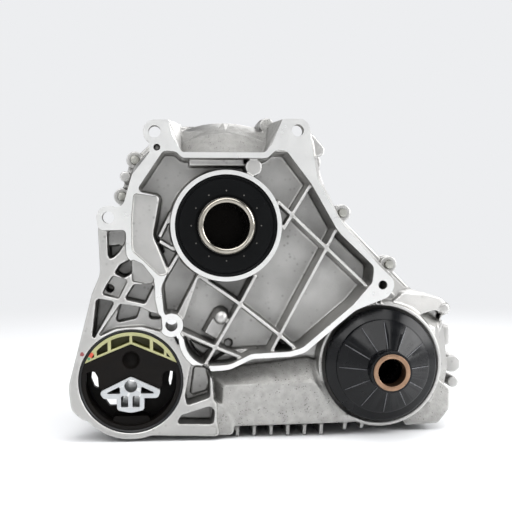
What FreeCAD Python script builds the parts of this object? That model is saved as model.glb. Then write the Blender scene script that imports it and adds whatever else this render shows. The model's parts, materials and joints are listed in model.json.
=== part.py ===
import FreeCAD, Part
import math
import os

# Transfer case of a chain-driven all-wheel-drive gearbox, one STEP file per piece.
# Frame in millimetres: +Z up, +Y from the gearbox joint face toward the rear of the case, +X toward the
# front output. The origin is on the input axis, in the plane of the gearbox joint face.

Vector = FreeCAD.Vector

# ---------------------------------------------------------------- planes along Y
JOINT_Y = 0.0
ARM_Y = 3.0
RING_Y = 2.0
RIB_Y = 6.0
RECESS_Y = 38.0
CASE_WALL = 6.0
CHAMBER_Y = RECESS_Y + CASE_WALL
SPLIT_FLANGE_T = 9.0
SPLIT_Y = 92.0
GASKET_T = 0.6
REAR_Y = SPLIT_Y + GASKET_T
REAR_FLANGE_T = 12.0

# ---------------------------------------------------------------- axes (x, z)
INPUT = (0.0, 0.0)
OUTPUT = (147.0, -132.0)
BUSH = (-88.3, -143.5)

# ---------------------------------------------------------------- fits and clearances
RUNNING_GAP = 0.3
ROLLING_GAP = 0.05
BOLT_GAP = 0.5

# ---------------------------------------------------------------- gearbox joint: ears and flange
EAR_R = 10.8
EAR_HOLE_R = 5.6
EAR_T = 15.0
LONG_EAR_T = 58.0
TOP_EARS = [(-65.6, 86.1), (65.9, 87.8)]
LEFT_EAR = (-108.0, 7.6)
LOW_EAR = (-50.9, -91.5)
RIGHT_EAR = (146.1, -55.4)
BLIND_HOLE_R = 4.25
BLIND_HOLE_DEPTH = 26.0
BELL_DEPTH = 48.0
PLATEAU_STEP = 4.0

# ---------------------------------------------------------------- input ring and main shaft
RING_R = 51.5
SEAL_SEAT_R = 47.5
SLEEVE_R = 26.3
SLEEVE_BORE_R = 20.7
SLEEVE_Y = -2.0
SLEEVE_BORE_DEPTH = 14.0
SPLINE_TEETH = 18
SPLINE_DEPTH = 1.5

# ---------------------------------------------------------------- chain drive
TEETH = 30
LINKS = 72
CHAIN_Y = 54.0
CHAIN_WIDTH = 26.0
CENTRES = math.hypot(OUTPUT[0] - INPUT[0], OUTPUT[1] - INPUT[1])
PITCH = 2.0 * CENTRES / (LINKS - TEETH)
PITCH_R = PITCH / (2.0 * math.sin(math.pi / TEETH))
CHAIN_ROOM = 10.0
CHAMBER_R = PITCH_R + CHAIN_ROOM

# ---------------------------------------------------------------- bearings: bore, outside, first y, width
MAIN_FRONT_BEARING = (SLEEVE_R, 41.0, 15.0, 16.0)
MAIN_REAR_BEARING = (20.0, 42.0, 139.0, 16.0)
OUTPUT_FRONT_BEARING = (18.0, 36.0, 26.0, 17.0)
OUTPUT_REAR_BEARING = (15.0, 32.0, 88.0, 14.0)
ROLLERS = 12

# ---------------------------------------------------------------- front output
OUTPUT_BORE_R = 12.6
HUB_RING_R = 16.7
HUB_RING_Y = -38.0
SHAFT_NOSE_Y = -20.0
NECK_R = 18.8
NECK_Y = -36.0
NECK_FOOT_Y = -18.0
CONE_R = 44.0
CONE_Y = 0.0
RIM_R = 53.0
RIM_Y = 8.0
RIM_DEPTH = 8.0
SHIELD_WALL = 2.4
SHIELD_RIBS = 12
BOSS_BORE_R = 56.0
BOSS_R = 61.0
BOSS_Y = 14.0
BOSS_FLOOR_Y = 22.0

# ---------------------------------------------------------------- mount bush
CAN_R = 48.0
CAN_WALL = 2.6
CAN_END_Y = 60.0
EYE_WALL = 6.0
EYE_END_Y = 62.0
RUBBER_RING_T = 3.6
CORE_BORE_R = 5.9
CORE_FRONT_Y = 2.0
CORE_BACK_Y = 62.0
INSERT_DEPTH = 20.0

# ---------------------------------------------------------------- clutch
DRUM_R = 57.0
DRUM_WALL = 4.0
DRUM_Y = 94.0
DRUM_DEPTH = 34.0
DRUM_ROOM = 6.0
PLATE_GAP = 1.0
PLATE_FACE = 12.0
HUB_R = DRUM_R - DRUM_WALL - PLATE_GAP - PLATE_FACE
HUB_WALL = 4.0
PLATE_T = 1.6
PLATE_COUNT = 6

# ---------------------------------------------------------------- rear case
CAVITY_R = DRUM_R + DRUM_ROOM
DOME_WALL = 11.0
REAR_DOME_R = CAVITY_R + DOME_WALL
REAR_DOME_Y = 134.0
REAR_NECK_R = 50.0
CHAIN_COVER_Y = 112.0

# ---------------------------------------------------------------- rear output flange
FLANGE_Y = 170.0
FLANGE_R = 48.0
FLANGE_T = 8.0
FLANGE_PCD_R = 37.0
FLANGE_HOLES = 4
FLANGE_HOLE_R = 5.25
HUB_SEAT_R = 24.0
SEAL_R = 33.0
REAR_BOSS_Y = 167.0
THREAD_R = 11.0

# ---------------------------------------------------------------- split joint
SPLIT_BOLT_R = 4.0
SPLIT_BOSS_R = 8.5
BOLT_HEAD_R = 7.0
BOLT_HEAD_T = 6.0
BOLT_REACH = 22.0
DOWEL_R = 6.2
DOWEL_REACH = 6.0
SPLIT_BOLTS = [
    (-99.0, 28.0), (-86.5, 64.0), (-30.0, 88.0), (42.0, 97.0), (90.0, 62.0), (120.5, 12.0),
    (168.0, -40.0), (217.0, -83.3), (229.0, -139.0), (214.0, -184.0), (180.0, -189.0),
    (112.0, -186.5), (35.0, -185.5), (-20.0, -150.0), (-79.0, -72.0), (-98.0, -30.0),
]

# ---------------------------------------------------------------- sump and fins
FIN_X = 10.8
FIN_PITCH = 15.96
FIN_COUNT = 6
FIN_T = 3.4
FIN_BOTTOM_Z = -200.0
FIN_TOP_Z = -180.0
SIDE_FINS = [(113.4, -195.5), (129.9, -194.5), (150.9, -191.0)]
SUMP_WALL = 5.0

# ---------------------------------------------------------------- outlines: corners (x, z, corner radius)
FLANGE_EDGE = [
    (-76.4, 96.9, 10.8), (-53.0, 96.9, 2), (-50.0, 83.0, 5), (-41.0, 67.5, 3), (35.5, 67.5, 3),
    (42.0, 75.0, 3), (52.0, 98.6, 2), (76.7, 98.6, 10.8), (78.6, 78.0, 10), (84.5, 42.3, 25),
    (108.0, 1.6, 60), (141.5, -36.0, 30), (156.5, -51.0, 8), (153.0, -66.3, 9), (120.0, -79.0, 30),
    (73.0, -118.3, 14), (60.0, -121.8, 10), (24.0, -123.5, 14), (2.0, -133.6, 30), (-39.5, -136.0, 31),
    (-45.0, -100.0, 4), (-61.0, -88.0, 6), (-65.5, -68.0, 15), (-66.0, -52.0, 12), (-74.0, -39.0, 16),
    (-91.5, -30.0, 10), (-94.0, 20.0, 14), (-86.5, 46.5, 10), (-70.2, 67.0, 4), (-70.8, 75.0, 4),
]
BELL_EDGE = [(-72.0, 79.0, 4), (-48.5, 79.0, 4)] + FLANGE_EDGE[3:6] + [(48.0, 82.0, 4), (78.2, 82.0, 6)] + (
    FLANGE_EDGE[8:29])
RECESS_EDGE = [
    (-83.0, 31.5, 4), (-57.6, 69.4, 7), (-46.5, 68.2, 8), (-40.5, 62.4, 6), (37.5, 62.4, 6),
    (46.2, 70.3, 7), (55.0, 70.0, 8), (79.0, 38.5, 60), (104.0, -5.5, 50), (138.0, -38.0, 8),
    (136.5, -53.0, 8), (118.3, -74.0, 10), (70.5, -114.0, 16), (59.0, -117.2, 10), (23.0, -119.0, 12),
    (3.0, -128.9, 26), (-34.5, -130.6, 26), (-40.0, -104.0, 6), (-58.0, -80.0, 6), (-60.4, -56.0, 12),
    (-54.5, -43.5, 3), (-68.0, -8.7, 12), (-61.4, 27.0, 4),
]
PLATEAU_EDGE = [
    (-85.0, 30.0, 3), (-87.2, 8.0, 60), (-87.0, -23.0, 10), (-76.0, -32.5, 12), (-60.0, -48.0, 6),
    (-52.0, -42.0, 0), (-60.0, -8.0, 0), (-58.0, 26.0, 0),
]
CASE_EDGE = [
    (-52.0, 98.0, 12), (-92.0, 62.0, 18), (-102.0, 24.0, 40), (-99.0, -32.0, 30), (-84.0, -67.0, 25),
    (-15.0, -121.5, 20), (-15.0, -178.0, 14), (0.0, -193.0, 12), (212.0, -194.0, 20), (224.0, -174.0, 14),
    (230.0, -140.0, 30), (224.0, -88.0, 22), (190.0, -63.0, 40), (112.0, 16.0, 40), (99.0, 52.0, 20),
    (96.0, 74.0, 10), (60.0, 98.0, 12),
]
ARM_EDGE = [
    (-117.8, 2.0, 8), (-115.8, -44.0, 20), (-123.5, -62.0, 25), (-131.0, -92.0, 60), (-145.5, -148.0, 30),
    (-143.0, -170.0, 12), (-132.0, -179.5, 5), (-123.5, -179.5, 6), (-101.0, -193.3, 12),
    (-6.0, -196.3, 4), (-11.0, -172.0, 8), (-13.5, -140.0, 10), (-40.0, -122.0, 10), (-56.0, -84.0, 5),
    (-62.0, -60.0, 12), (-70.0, -42.0, 12), (-88.0, -28.0, 6), (-90.0, 12.0, 3),
]
ARM_BACK_Y = 46.0
# pockets of the mount arm: corners and floor
ARM_POCKETS = [
    ([(-109.2, -4.6, 3), (-92.2, -4.0, 3), (-91.8, -13.0, 6), (-98.0, -26.0, 8), (-108.0, -33.0, 3)], 34.0),
    ([(-88.4, -29.4, 2), (-87.4, -48.4, 2), (-102.8, -44.6, 2), (-102.0, -40.0, 4), (-95.0, -33.0, 12)], 44.0),
    ([(-102.8, -43.6, 1), (-90.6, -49.4, 1), (-99.5, -67.6, 2), (-114.6, -63.4, 2), (-109.8, -55.4, 3)], 20.0),
    ([(-84.8, -52.0, 2), (-64.6, -55.6, 2), (-74.2, -70.6, 2), (-92.6, -66.0, 2)], 34.0),
    ([(-119.6, -67.2, 2), (-104.2, -71.2, 2), (-124.2, -107.6, 1)], 36.0),
    ([(-95.0, -72.6, 2), (-78.4, -78.4, 2), (-83.6, -85.0, 3), (-104.4, -89.4, 2)], 30.0),
    ([(-72.6, -78.2, 2), (-63.2, -80.8, 2), (-65.4, -90.2, 2)], 32.0),
    ([(-30.0, -134.0, 3), (-18.0, -136.0, 4), (-15.0, -150.0, 4), (-17.5, -158.0, 4), (-34.0, -163.0, 3)], 36.0),
    ([(-38.0, -171.0, 2), (-14.5, -165.0, 4), (-8.5, -169.0, 3), (-9.5, -184.0, 4), (-46.0, -180.0, 2)], 30.0),
]
CRESCENT = [(-86.0, -31.0, 4), (-74.0, -40.0, 12), (-65.5, -53.0, 3), (-84.0, -50.5, 2)]
CRESCENT_Y = 10.0
ARM_HOLE = (-108.6, -59.6)
ARM_HOLE_R = 4.0
# ribs of the recess: runs of points (x, z)
RIB_T = 3.0
RIB_FOOT_T = 4.6
RIB_RUNS = [
    [(47.9, 22.8), (134.6, -59.2)],
    [(79.6, 39.4), (53.0, -3.6)],
    [(104.2, -1.0), (94.6, -20.0), (41.3, -119.0)],
    [(-24.4, -47.0), (13.6, -73.7), (50.6, -103.1), (66.0, -116.4)],
    [(27.6, -46.0), (13.4, -72.8), (-10.2, -113.3), (-19.6, -129.0)],
    [(-44.0, -98.1), (-10.2, -113.3), (17.5, -124.8)],
    [(-61.6, -10.5), (-50.4, 12.4)],
    [(-61.6, -14.4), (-47.0, -22.6)],
    [(-64.8, -18.0), (-54.1, -43.5)],
    [(-55.5, -45.5), (-45.0, -27.5)],
]
# deep cells between the ribs at the foot of the recess
DEEP_CELLS = [
    [(43.5, -108.0, 1), (59.0, -115.5, 1), (44.6, -115.8, 1)],
    [(-13.6, -118.6, 1), (-34.8, -109.0, 1), (-29.0, -119.5, 4), (-20.4, -125.4, 1)],
]
DEEP_CELL_Y = 58.0
SUMP_FRONT = [
    (-2.2, -150.0, 3), (84.5, -148.0, 6), (102.0, -177.5, 4), (101.0, -186.5, 3), (8.0, -188.0, 5),
    (-4.5, -180.0, 5),
]
SUMP_BACK = [
    (-14.8, -137.0, 6), (78.0, -126.0, 6), (150.0, -150.0, 6), (160.0, -188.0, 6), (4.0, -190.5, 8),
    (-13.5, -176.0, 8),
]
SUMP_Y = 9.0
SUMP_SLOPE = 14.0
CORNER_BLOCK = [
    (171.0, -187.0, 3), (205.0, -147.5, 3), (219.3, -159.5, 2), (219.0, -179.0, 3), (208.0, -192.8, 4),
    (176.0, -194.8, 3),
]
CORNER_BLOCK_Y = 30.0


# ================================================================ geometry helpers
def signed_area(corners):
    """Twice the signed area of a corner list."""
    total = 0.0
    for index, corner in enumerate(corners):
        nxt = corners[(index + 1) % len(corners)]
        total += corner[0] * nxt[1] - nxt[0] * corner[1]
    return total


def grown(corners, grow):
    """The same outline with every side moved outward by grow, corner radii following."""
    turn = 1.0 if signed_area(corners) > 0 else -1.0
    result = []
    count = len(corners)
    for index in range(count):
        before = corners[index - 1]
        here = corners[index]
        after = corners[(index + 1) % count]
        a = Vector(here[0] - before[0], 0, here[1] - before[1]).normalize()
        b = Vector(after[0] - here[0], 0, after[1] - here[1]).normalize()
        na = Vector(a.z * turn, 0, -a.x * turn)
        nb = Vector(b.z * turn, 0, -b.x * turn)
        shift = (na + nb) * (grow / (1.0 + na.dot(nb)))
        convex = (a.x * b.z - a.z * b.x) * turn > 0
        radius = here[2]
        if radius > 0:
            radius = max(0.4, radius + grow if convex else radius - grow)
        result.append((here[0] + shift.x, here[1] + shift.z, radius))
    return result


def outline(corners, y):
    """Closed wire in the plane y through corners (x, z, radius), with tangent arcs."""
    edges = []
    count = len(corners)
    starts = []
    for index in range(count):
        here = Vector(corners[index][0], y, corners[index][1])
        before = Vector(corners[index - 1][0], y, corners[index - 1][1])
        after = Vector(corners[(index + 1) % count][0], y, corners[(index + 1) % count][1])
        a = (before - here).normalize()
        b = (after - here).normalize()
        radius = corners[index][2]
        half = math.acos(max(-1.0, min(1.0, a.dot(b)))) / 2.0
        if radius <= 0 or half > math.pi / 2 - 1e-4:
            starts.append((here, None, here))
            continue
        reach = radius / math.tan(half)
        middle = (a + b).normalize()
        centre = here + middle * (radius / math.sin(half))
        starts.append((here + a * reach, centre - middle * radius, here + b * reach))
    for index in range(count):
        first, mid, last = starts[index]
        if mid is not None:
            edges.append(Part.Arc(first, mid, last).toShape())
        following = starts[(index + 1) % count][0]
        if (following - last).Length > 1e-5:
            edges.append(Part.LineSegment(last, following).toShape())
    return Part.Wire(edges)


def prism(corners, y0, y1, grow=0.0):
    """Solid between y0 and y1 on an outline; grow drafts the far end outward."""
    if grow == 0.0:
        return Part.Face(outline(corners, y0)).extrude(Vector(0, y1 - y0, 0))
    return Part.makeLoft([outline(corners, y0), outline(grown(corners, grow), y1)], True, True)


def cylinder(centre, radius, y0, y1):
    """Round bar along Y."""
    return Part.makeCylinder(radius, y1 - y0, Vector(centre[0], y0, centre[1]), Vector(0, 1, 0))


def tube(centre, inner, outer, y0, y1):
    """Hollow round bar along Y."""
    return cylinder(centre, outer, y0, y1).cut(cylinder(centre, inner, y0 - 1, y1 + 1))


def cone(centre, r0, r1, y0, y1):
    """Round bar along Y whose radius goes from r0 to r1."""
    return Part.makeCone(r0, r1, y1 - y0, Vector(centre[0], y0, centre[1]), Vector(0, 1, 0))


def block(x0, x1, y0, y1, z0, z1):
    """Box between two corners."""
    return Part.makeBox(x1 - x0, y1 - y0, z1 - z0, Vector(x0, y0, z0))


def turned(centre, profile):
    """Solid of revolution about the Y axis through centre, from (radius, y) points."""
    points = [Vector(centre[0] + r, y, centre[1]) for r, y in profile]
    face = Part.Face(Part.makePolygon(points + points[:1]))
    return face.revolve(Vector(centre[0], 0, centre[1]), Vector(0, 1, 0), 360)


def rib(p, q, width, y0, y1, foot_width):
    """Drafted wall between two points (x, z), width at y0 and foot_width at y1."""
    along = Vector(q[0] - p[0], 0, q[1] - p[1]).normalize()
    side = Vector(-along.z, 0, along.x)
    wires = []
    for y, half in ((y0, width / 2.0), (y1, foot_width / 2.0)):
        a = Vector(p[0], y, p[1])
        b = Vector(q[0], y, q[1])
        ring = [a - side * half, b - side * half, b + side * half, a + side * half]
        wires.append(Part.makePolygon(ring + ring[:1]))
    return Part.makeLoft(wires, True, True)


def rib_run(points, width, y0, y1, foot_width):
    """Ribs through a run of points, with a round post at each inner point."""
    pieces = [rib(p, q, width, y0, y1, foot_width) for p, q in zip(points, points[1:])]
    pieces += [cone(p, width / 2.0, foot_width / 2.0, y0, y1) for p in points[1:-1]]
    return pieces


def polar(centre, radius, degrees):
    """Point (x, z) at an angle from +X toward +Z."""
    angle = math.radians(degrees)
    return (centre[0] + radius * math.cos(angle), centre[1] + radius * math.sin(angle))


def stadium(radius, y0, y1):
    """Solid round both chain wheels: two round ends and the straight between them."""
    along = Vector(OUTPUT[0] - INPUT[0], 0, OUTPUT[1] - INPUT[1]).normalize()
    side = Vector(-along.z, 0, along.x)
    a = Vector(INPUT[0], y0, INPUT[1])
    b = Vector(OUTPUT[0], y0, OUTPUT[1])
    corners = [a + side * radius, b + side * radius, b - side * radius, a - side * radius]
    edges = [
        Part.LineSegment(corners[0], corners[1]).toShape(),
        Part.Arc(corners[1], b + along * radius, corners[2]).toShape(),
        Part.LineSegment(corners[2], corners[3]).toShape(),
        Part.Arc(corners[3], a - along * radius, corners[0]).toShape(),
    ]
    return Part.Face(Part.Wire(edges)).extrude(Vector(0, y1 - y0, 0))


def fused(pieces):
    """One shape from several."""
    return pieces[0].multiFuse(pieces[1:])


def cut_all(shape, tools):
    """The shape less every tool."""
    return shape.cut(tools)


# ================================================================ castings
def case_bosses(y0, y1, radius):
    """Round bosses for the split bolts."""
    return [cylinder(place, radius, y0, y1) for place in SPLIT_BOLTS]


def recess_tool():
    """The open recess of the bell, less the ring, ribs and bosses that stand in it."""
    hollow = prism(RECESS_EDGE, JOINT_Y - 1.0, RECESS_Y, -2.0)
    standing = [cone(INPUT, RING_R, RING_R + 1.6, RING_Y, RECESS_Y + 1.0)]
    for run in RIB_RUNS:
        standing += rib_run(run, RIB_T, RIB_Y, RECESS_Y + 1.0, RIB_FOOT_T)
    wedge = [(-25.5, -47.0, 0), (-27.2, -46.0, 0), (-46.0, -83.2, 0), (-40.0, -88.6, 0)]
    standing.append(prism(wedge, RIB_Y, RECESS_Y + 1.0))
    standing.append(cylinder(LOW_EAR, EAR_R, JOINT_Y, RECESS_Y + 1.0))
    standing.append(cone((-4.6, -85.6), 6.0, 8.0, 9.0, RECESS_Y + 1.0))
    standing.append(rib((-4.6, -85.6), (-14.6, -103.5), 12.0, 18.0, RECESS_Y + 1.0, 16.0))
    standing.append(cylinder((25.4, 54.0), 7.6, 3.5, RECESS_Y + 1.0))
    standing.append(block(-34.0, 17.0, 12.0, RECESS_Y + 1.0, 55.5, 66.0))
    return hollow.cut(fused(standing))


def output_boss():
    """Casting round the front output: an open collar with a bearing seat behind it."""
    collar = fused([
        cone(OUTPUT, BOSS_R - 2.0, BOSS_R, BOSS_Y, BOSS_Y + 8.0),
        cylinder(OUTPUT, BOSS_R, BOSS_Y + 8.0, SPLIT_Y - 1.0),
    ])
    lines = [rib(polar(OUTPUT, BOSS_R - 1.0, a), polar(OUTPUT, BOSS_R + 9.0, a - 4.0), 1.6, 17.0, 40.0, 2.4)
             for a in (104.0, 110.0, 116.0)]
    return fused([collar] + lines)


def sump():
    """Finned oil sump under the chain case."""
    body = Part.makeLoft([outline(SUMP_FRONT, SUMP_Y), outline(SUMP_BACK, SUMP_Y + SUMP_SLOPE)], True, True)
    rear = prism(SUMP_BACK, SUMP_Y + SUMP_SLOPE, SPLIT_Y - 1.0)
    return [body, rear] + fins(SUMP_Y + 2.0, SPLIT_Y - 1.0)


def fins(y0, y1):
    """Cooling fins that run along Y under the sump."""
    places = [(FIN_X + FIN_PITCH * i, FIN_BOTTOM_Z) for i in range(FIN_COUNT)] + SIDE_FINS
    result = []
    for x, bottom in places:
        profile = [(y0, FIN_TOP_Z), (y0 + 5.0, bottom + 2.0), (y0 + 9.0, bottom), (y1, bottom), (y1, FIN_TOP_Z)]
        points = [Vector(x - FIN_T / 2.0, y, z) for y, z in profile]
        result.append(Part.Face(Part.makePolygon(points + points[:1])).extrude(Vector(FIN_T, 0, 0)))
    return result


def mount_arm():
    """Arm with the bush eye, before its pockets are cut."""
    return [
        prism(ARM_EDGE, ARM_Y, ARM_BACK_Y),
        cylinder(BUSH, CAN_R + EYE_WALL, ARM_Y, EYE_END_Y),
    ]


def front_housing():
    """Front case half: bell flange, ribbed recess, chain case, mount arm, sump and output boss."""
    solids = [prism(FLANGE_EDGE, JOINT_Y, EAR_T), prism(BELL_EDGE, EAR_T - 1.0, BELL_DEPTH)]
    solids += [cylinder(place, EAR_R, JOINT_Y, EAR_T) for place in TOP_EARS + [LEFT_EAR]]
    solids.append(cylinder(LOW_EAR, EAR_R, JOINT_Y, LONG_EAR_T))
    solids.append(cylinder(RIGHT_EAR, EAR_R, JOINT_Y, BELL_DEPTH))
    solids.append(prism([(-97.0, 18.0, 2), (-118.0, 13.0, 10), (-118.0, -4.0, 6), (-90.0, -4.0, 2), (-90.0, 24.0, 2)],
                        JOINT_Y, EAR_T))
    solids.append(prism(grown(CASE_EDGE, -22.0), BELL_DEPTH - 20.0, BELL_DEPTH, 14.0))
    solids.append(prism(grown(CASE_EDGE, -8.0), BELL_DEPTH, SPLIT_Y - SPLIT_FLANGE_T, 3.0))
    solids.append(prism(CASE_EDGE, SPLIT_Y - SPLIT_FLANGE_T, SPLIT_Y))
    solids.append(cone(INPUT, 66.0, 88.0, 10.0, 44.0))
    solids += case_bosses(SPLIT_Y - SPLIT_FLANGE_T - 8.0, SPLIT_Y, SPLIT_BOSS_R)
    solids.append(output_boss())
    solids += sump()
    solids += mount_arm()
    solids.append(prism(CORNER_BLOCK, CORNER_BLOCK_Y, SPLIT_Y - 1.0))
    solids += side_bosses()
    body = fused(solids)

    tools = [recess_tool(), prism(PLATEAU_EDGE, JOINT_Y - 1.0, PLATEAU_STEP)]
    tools += [prism(corners, DEEP_CELL_Y - 24.0, DEEP_CELL_Y) for corners in DEEP_CELLS]
    tools += [cylinder(p, EAR_HOLE_R, -1.0, LONG_EAR_T + 1.0) for p in TOP_EARS + [LEFT_EAR, LOW_EAR]]
    tools.append(cylinder(LEFT_EAR, EAR_R + BOLT_GAP, EAR_T, ARM_BACK_Y + 1.0))
    tools.append(cylinder(RIGHT_EAR, BLIND_HOLE_R, -1.0, BLIND_HOLE_DEPTH))
    tools.append(cylinder((-63.6, 71.7), 3.2, -1.0, 12.0))
    tools.append(cylinder((3.3, -113.3), 4.2, 20.0, RECESS_Y + 4.0))
    tools += input_bore_tools()
    tools += output_bore_tools()
    tools += chamber_tools()
    tools += arm_tools()
    tools += bolt_hole_tools(SPLIT_Y - BOLT_REACH - 2.0, SPLIT_Y + 1.0, SPLIT_BOLT_R)
    tools += dowel_tools(SPLIT_Y - DOWEL_REACH, SPLIT_Y + 1.0)
    return cut_all(body, tools)


def side_bosses():
    """Bosses and webs that stand out on the output side of the case."""
    return [
        cylinder(SPLIT_BOLTS[7], SPLIT_BOSS_R, 34.0, SPLIT_Y - 1.0),
        rib((183.0, -84.0), (217.0, -82.0), 17.0, 42.0, SPLIT_Y - 1.0, 20.0),
        rib((217.0, -83.0), (206.0, -112.0), 3.0, 36.0, SPLIT_Y - 1.0, 5.0),
        block(214.0, 226.5, 58.0, SPLIT_Y - 1.0, -120.0, -101.0),
        cylinder(SPLIT_BOLTS[8], SPLIT_BOSS_R, 56.0, SPLIT_Y - 1.0),
        cylinder((232.0, -158.5), 5.6, 62.0, SPLIT_Y - 1.0),
        cylinder(SPLIT_BOLTS[3], SPLIT_BOSS_R - 1.5, 40.0, SPLIT_Y - 1.0),
        cylinder((-94.0, 46.0), 5.0, 30.0, SPLIT_Y - 1.0),
    ]


def input_bore_tools():
    """Seal seat, bearing seat and shaft passage through the input ring."""
    bore, outside, first, width = MAIN_FRONT_BEARING
    return [
        cylinder(INPUT, SEAL_SEAT_R, RING_Y - 3.0, first - 1.0),
        cylinder(INPUT, outside, first - 2.0, first + width),
        cylinder(INPUT, outside - 5.0, first + width - 1.0, CHAMBER_Y + 1.0),
    ]


def output_bore_tools():
    """Space for the dust shield, then seal and bearing seats of the front output."""
    bore, outside, first, width = OUTPUT_FRONT_BEARING
    return [
        cylinder(OUTPUT, BOSS_BORE_R, JOINT_Y - 2.0, BOSS_FLOOR_Y - 7.0),
        cone(OUTPUT, BOSS_BORE_R, outside + 6.0, BOSS_FLOOR_Y - 7.01, BOSS_FLOOR_Y),
        cylinder(OUTPUT, outside, BOSS_FLOOR_Y - 8.0, first + width),
        cylinder(OUTPUT, outside - 5.0, first + width - 1.0, CHAMBER_Y + 4.0),
    ]


def chamber_tools():
    """Chain chamber and the oil space under it."""
    oil = prism(grown(SUMP_BACK, -SUMP_WALL), SUMP_Y + SUMP_SLOPE + SUMP_WALL, SPLIT_Y + 1.0)
    keep = fused(case_bosses(SPLIT_Y - BOLT_REACH - 6.0, SPLIT_Y + 2.0, SPLIT_BOSS_R)
                 + [cylinder(OUTPUT, OUTPUT_FRONT_BEARING[1] + 6.0, JOINT_Y, CHAMBER_Y + 2.0)])
    return [stadium(CHAMBER_R, CHAMBER_Y, SPLIT_Y + 1.0), oil.cut(keep)]


def arm_tools():
    """Pockets, crescent, bush bore and small hole of the mount arm."""
    tools = [prism(corners, ARM_Y - 4.0, floor) for corners, floor in ARM_POCKETS]
    tools.append(prism(CRESCENT, ARM_Y - 4.0, CRESCENT_Y))
    tools.append(cylinder(BUSH, CAN_R, ARM_Y - 4.0, EYE_END_Y + 1.0))
    tools.append(cylinder(ARM_HOLE, ARM_HOLE_R, ARM_Y - 4.0, ARM_BACK_Y - 6.0))
    return tools


def bolt_hole_tools(y0, y1, radius):
    """Drillings for the split bolts."""
    return [cylinder(place, radius, y0, y1) for place in SPLIT_BOLTS]


def dowel_places():
    """The two split bolts that pass through hollow dowels."""
    return [SPLIT_BOLTS[0], SPLIT_BOLTS[8]]


def dowel_tools(y0, y1):
    """Counterbores for the hollow dowels."""
    return [cylinder(place, DOWEL_R, y0, y1) for place in dowel_places()]


def split_gasket():
    """Gasket between the case halves."""
    sheet = prism(CASE_EDGE, SPLIT_Y, REAR_Y)
    tools = [stadium(CHAMBER_R, SPLIT_Y - 1.0, REAR_Y + 1.0)]
    oil = prism(grown(SUMP_BACK, -SUMP_WALL), SPLIT_Y - 1.0, REAR_Y + 1.0)
    tools.append(oil.cut(fused(case_bosses(SPLIT_Y - 2.0, REAR_Y + 2.0, SPLIT_BOSS_R))))
    tools += bolt_hole_tools(SPLIT_Y - 1.0, REAR_Y + 1.0, SPLIT_BOLT_R + BOLT_GAP)
    tools += dowel_tools(SPLIT_Y - 1.0, REAR_Y + 1.0)
    return cut_all(fused([sheet] + case_bosses(SPLIT_Y, REAR_Y, SPLIT_BOSS_R)), tools)


def rear_housing():
    """Rear case half: flange, clutch dome, rear boss, chain cover, ribs and fins."""
    flange_back = REAR_Y + REAR_FLANGE_T
    solids = [prism(CASE_EDGE, REAR_Y, flange_back)]
    solids += case_bosses(REAR_Y, flange_back, SPLIT_BOSS_R)
    solids.append(stadium(CHAMBER_R + 6.0, flange_back - 1.0, CHAIN_COVER_Y))
    solids.append(cylinder(INPUT, REAR_DOME_R, flange_back - 1.0, REAR_DOME_Y))
    solids.append(cone(INPUT, REAR_DOME_R, REAR_NECK_R, REAR_DOME_Y, REAR_DOME_Y + 16.0))
    solids.append(cylinder(INPUT, REAR_NECK_R, REAR_DOME_Y + 15.0, REAR_BOSS_Y))
    solids.append(cylinder(OUTPUT, OUTPUT_REAR_BEARING[1] + 7.0, flange_back - 1.0, CHAIN_COVER_Y + 4.0))
    solids.append(cone(OUTPUT, OUTPUT_REAR_BEARING[1] + 7.0, 20.0, CHAIN_COVER_Y + 4.0, CHAIN_COVER_Y + 11.0))
    solids += fins(REAR_Y, REAR_Y + 36.0)
    solids.append(prism(grown(SUMP_BACK, -1.0), REAR_Y, REAR_Y + 34.0, -4.0))
    for angle in (20.0, 65.0, 110.0, 155.0, 200.0, 245.0):
        solids.append(rib(polar(INPUT, 40.0, angle), polar(INPUT, 88.0, angle), 5.0, flange_back - 1.0,
                          REAR_DOME_Y + 6.0, 4.0).cut(cylinder(INPUT, 38.0, 0.0, 300.0)))
    for angle in (-10.0, 35.0, -100.0, -55.0, 170.0):
        solids.append(rib(polar(OUTPUT, 30.0, angle), polar(OUTPUT, 70.0, angle), 4.6, flange_back - 1.0,
                          CHAIN_COVER_Y + 3.0, 4.0))
    body = fused(solids + actuator_pad())

    bore, outside, first, width = MAIN_REAR_BEARING
    out_bore, out_outside, out_first, out_width = OUTPUT_REAR_BEARING
    tools = [
        stadium(CHAMBER_R, REAR_Y - 1.0, flange_back - 6.0),
        cylinder(INPUT, CAVITY_R, REAR_Y - 1.0, REAR_DOME_Y - 2.0),
        cylinder(INPUT, outside - 5.0, REAR_DOME_Y - 3.0, first + 1.0),
        cylinder(INPUT, outside, first, first + width),
        cylinder(INPUT, SEAL_R - 3.0, first + width - 1.0, REAR_BOSS_Y + 1.0),
        cylinder(INPUT, SEAL_R, REAR_BOSS_Y - 9.0, REAR_BOSS_Y + 1.0),
        cylinder(OUTPUT, out_outside, REAR_Y - 1.0, out_first + out_width),
        cylinder(OUTPUT, out_outside - 6.0, out_first + out_width - 1.0, out_first + out_width + 6.0),
    ]
    oil = prism(grown(SUMP_BACK, -1.0 - SUMP_WALL), REAR_Y - 1.0, REAR_Y + 26.0)
    tools.append(oil.cut(fused(case_bosses(REAR_Y - 2.0, flange_back, SPLIT_BOSS_R))))
    tools += bolt_hole_tools(REAR_Y - 1.0, flange_back + 1.0, SPLIT_BOLT_R + BOLT_GAP)
    tools += bolt_hole_tools(flange_back, flange_back + 60.0, BOLT_HEAD_R + 1.0)
    tools += dowel_tools(REAR_Y - 1.0, REAR_Y + DOWEL_REACH)
    tools += plug_tools()
    return cut_all(body, tools)


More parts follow.
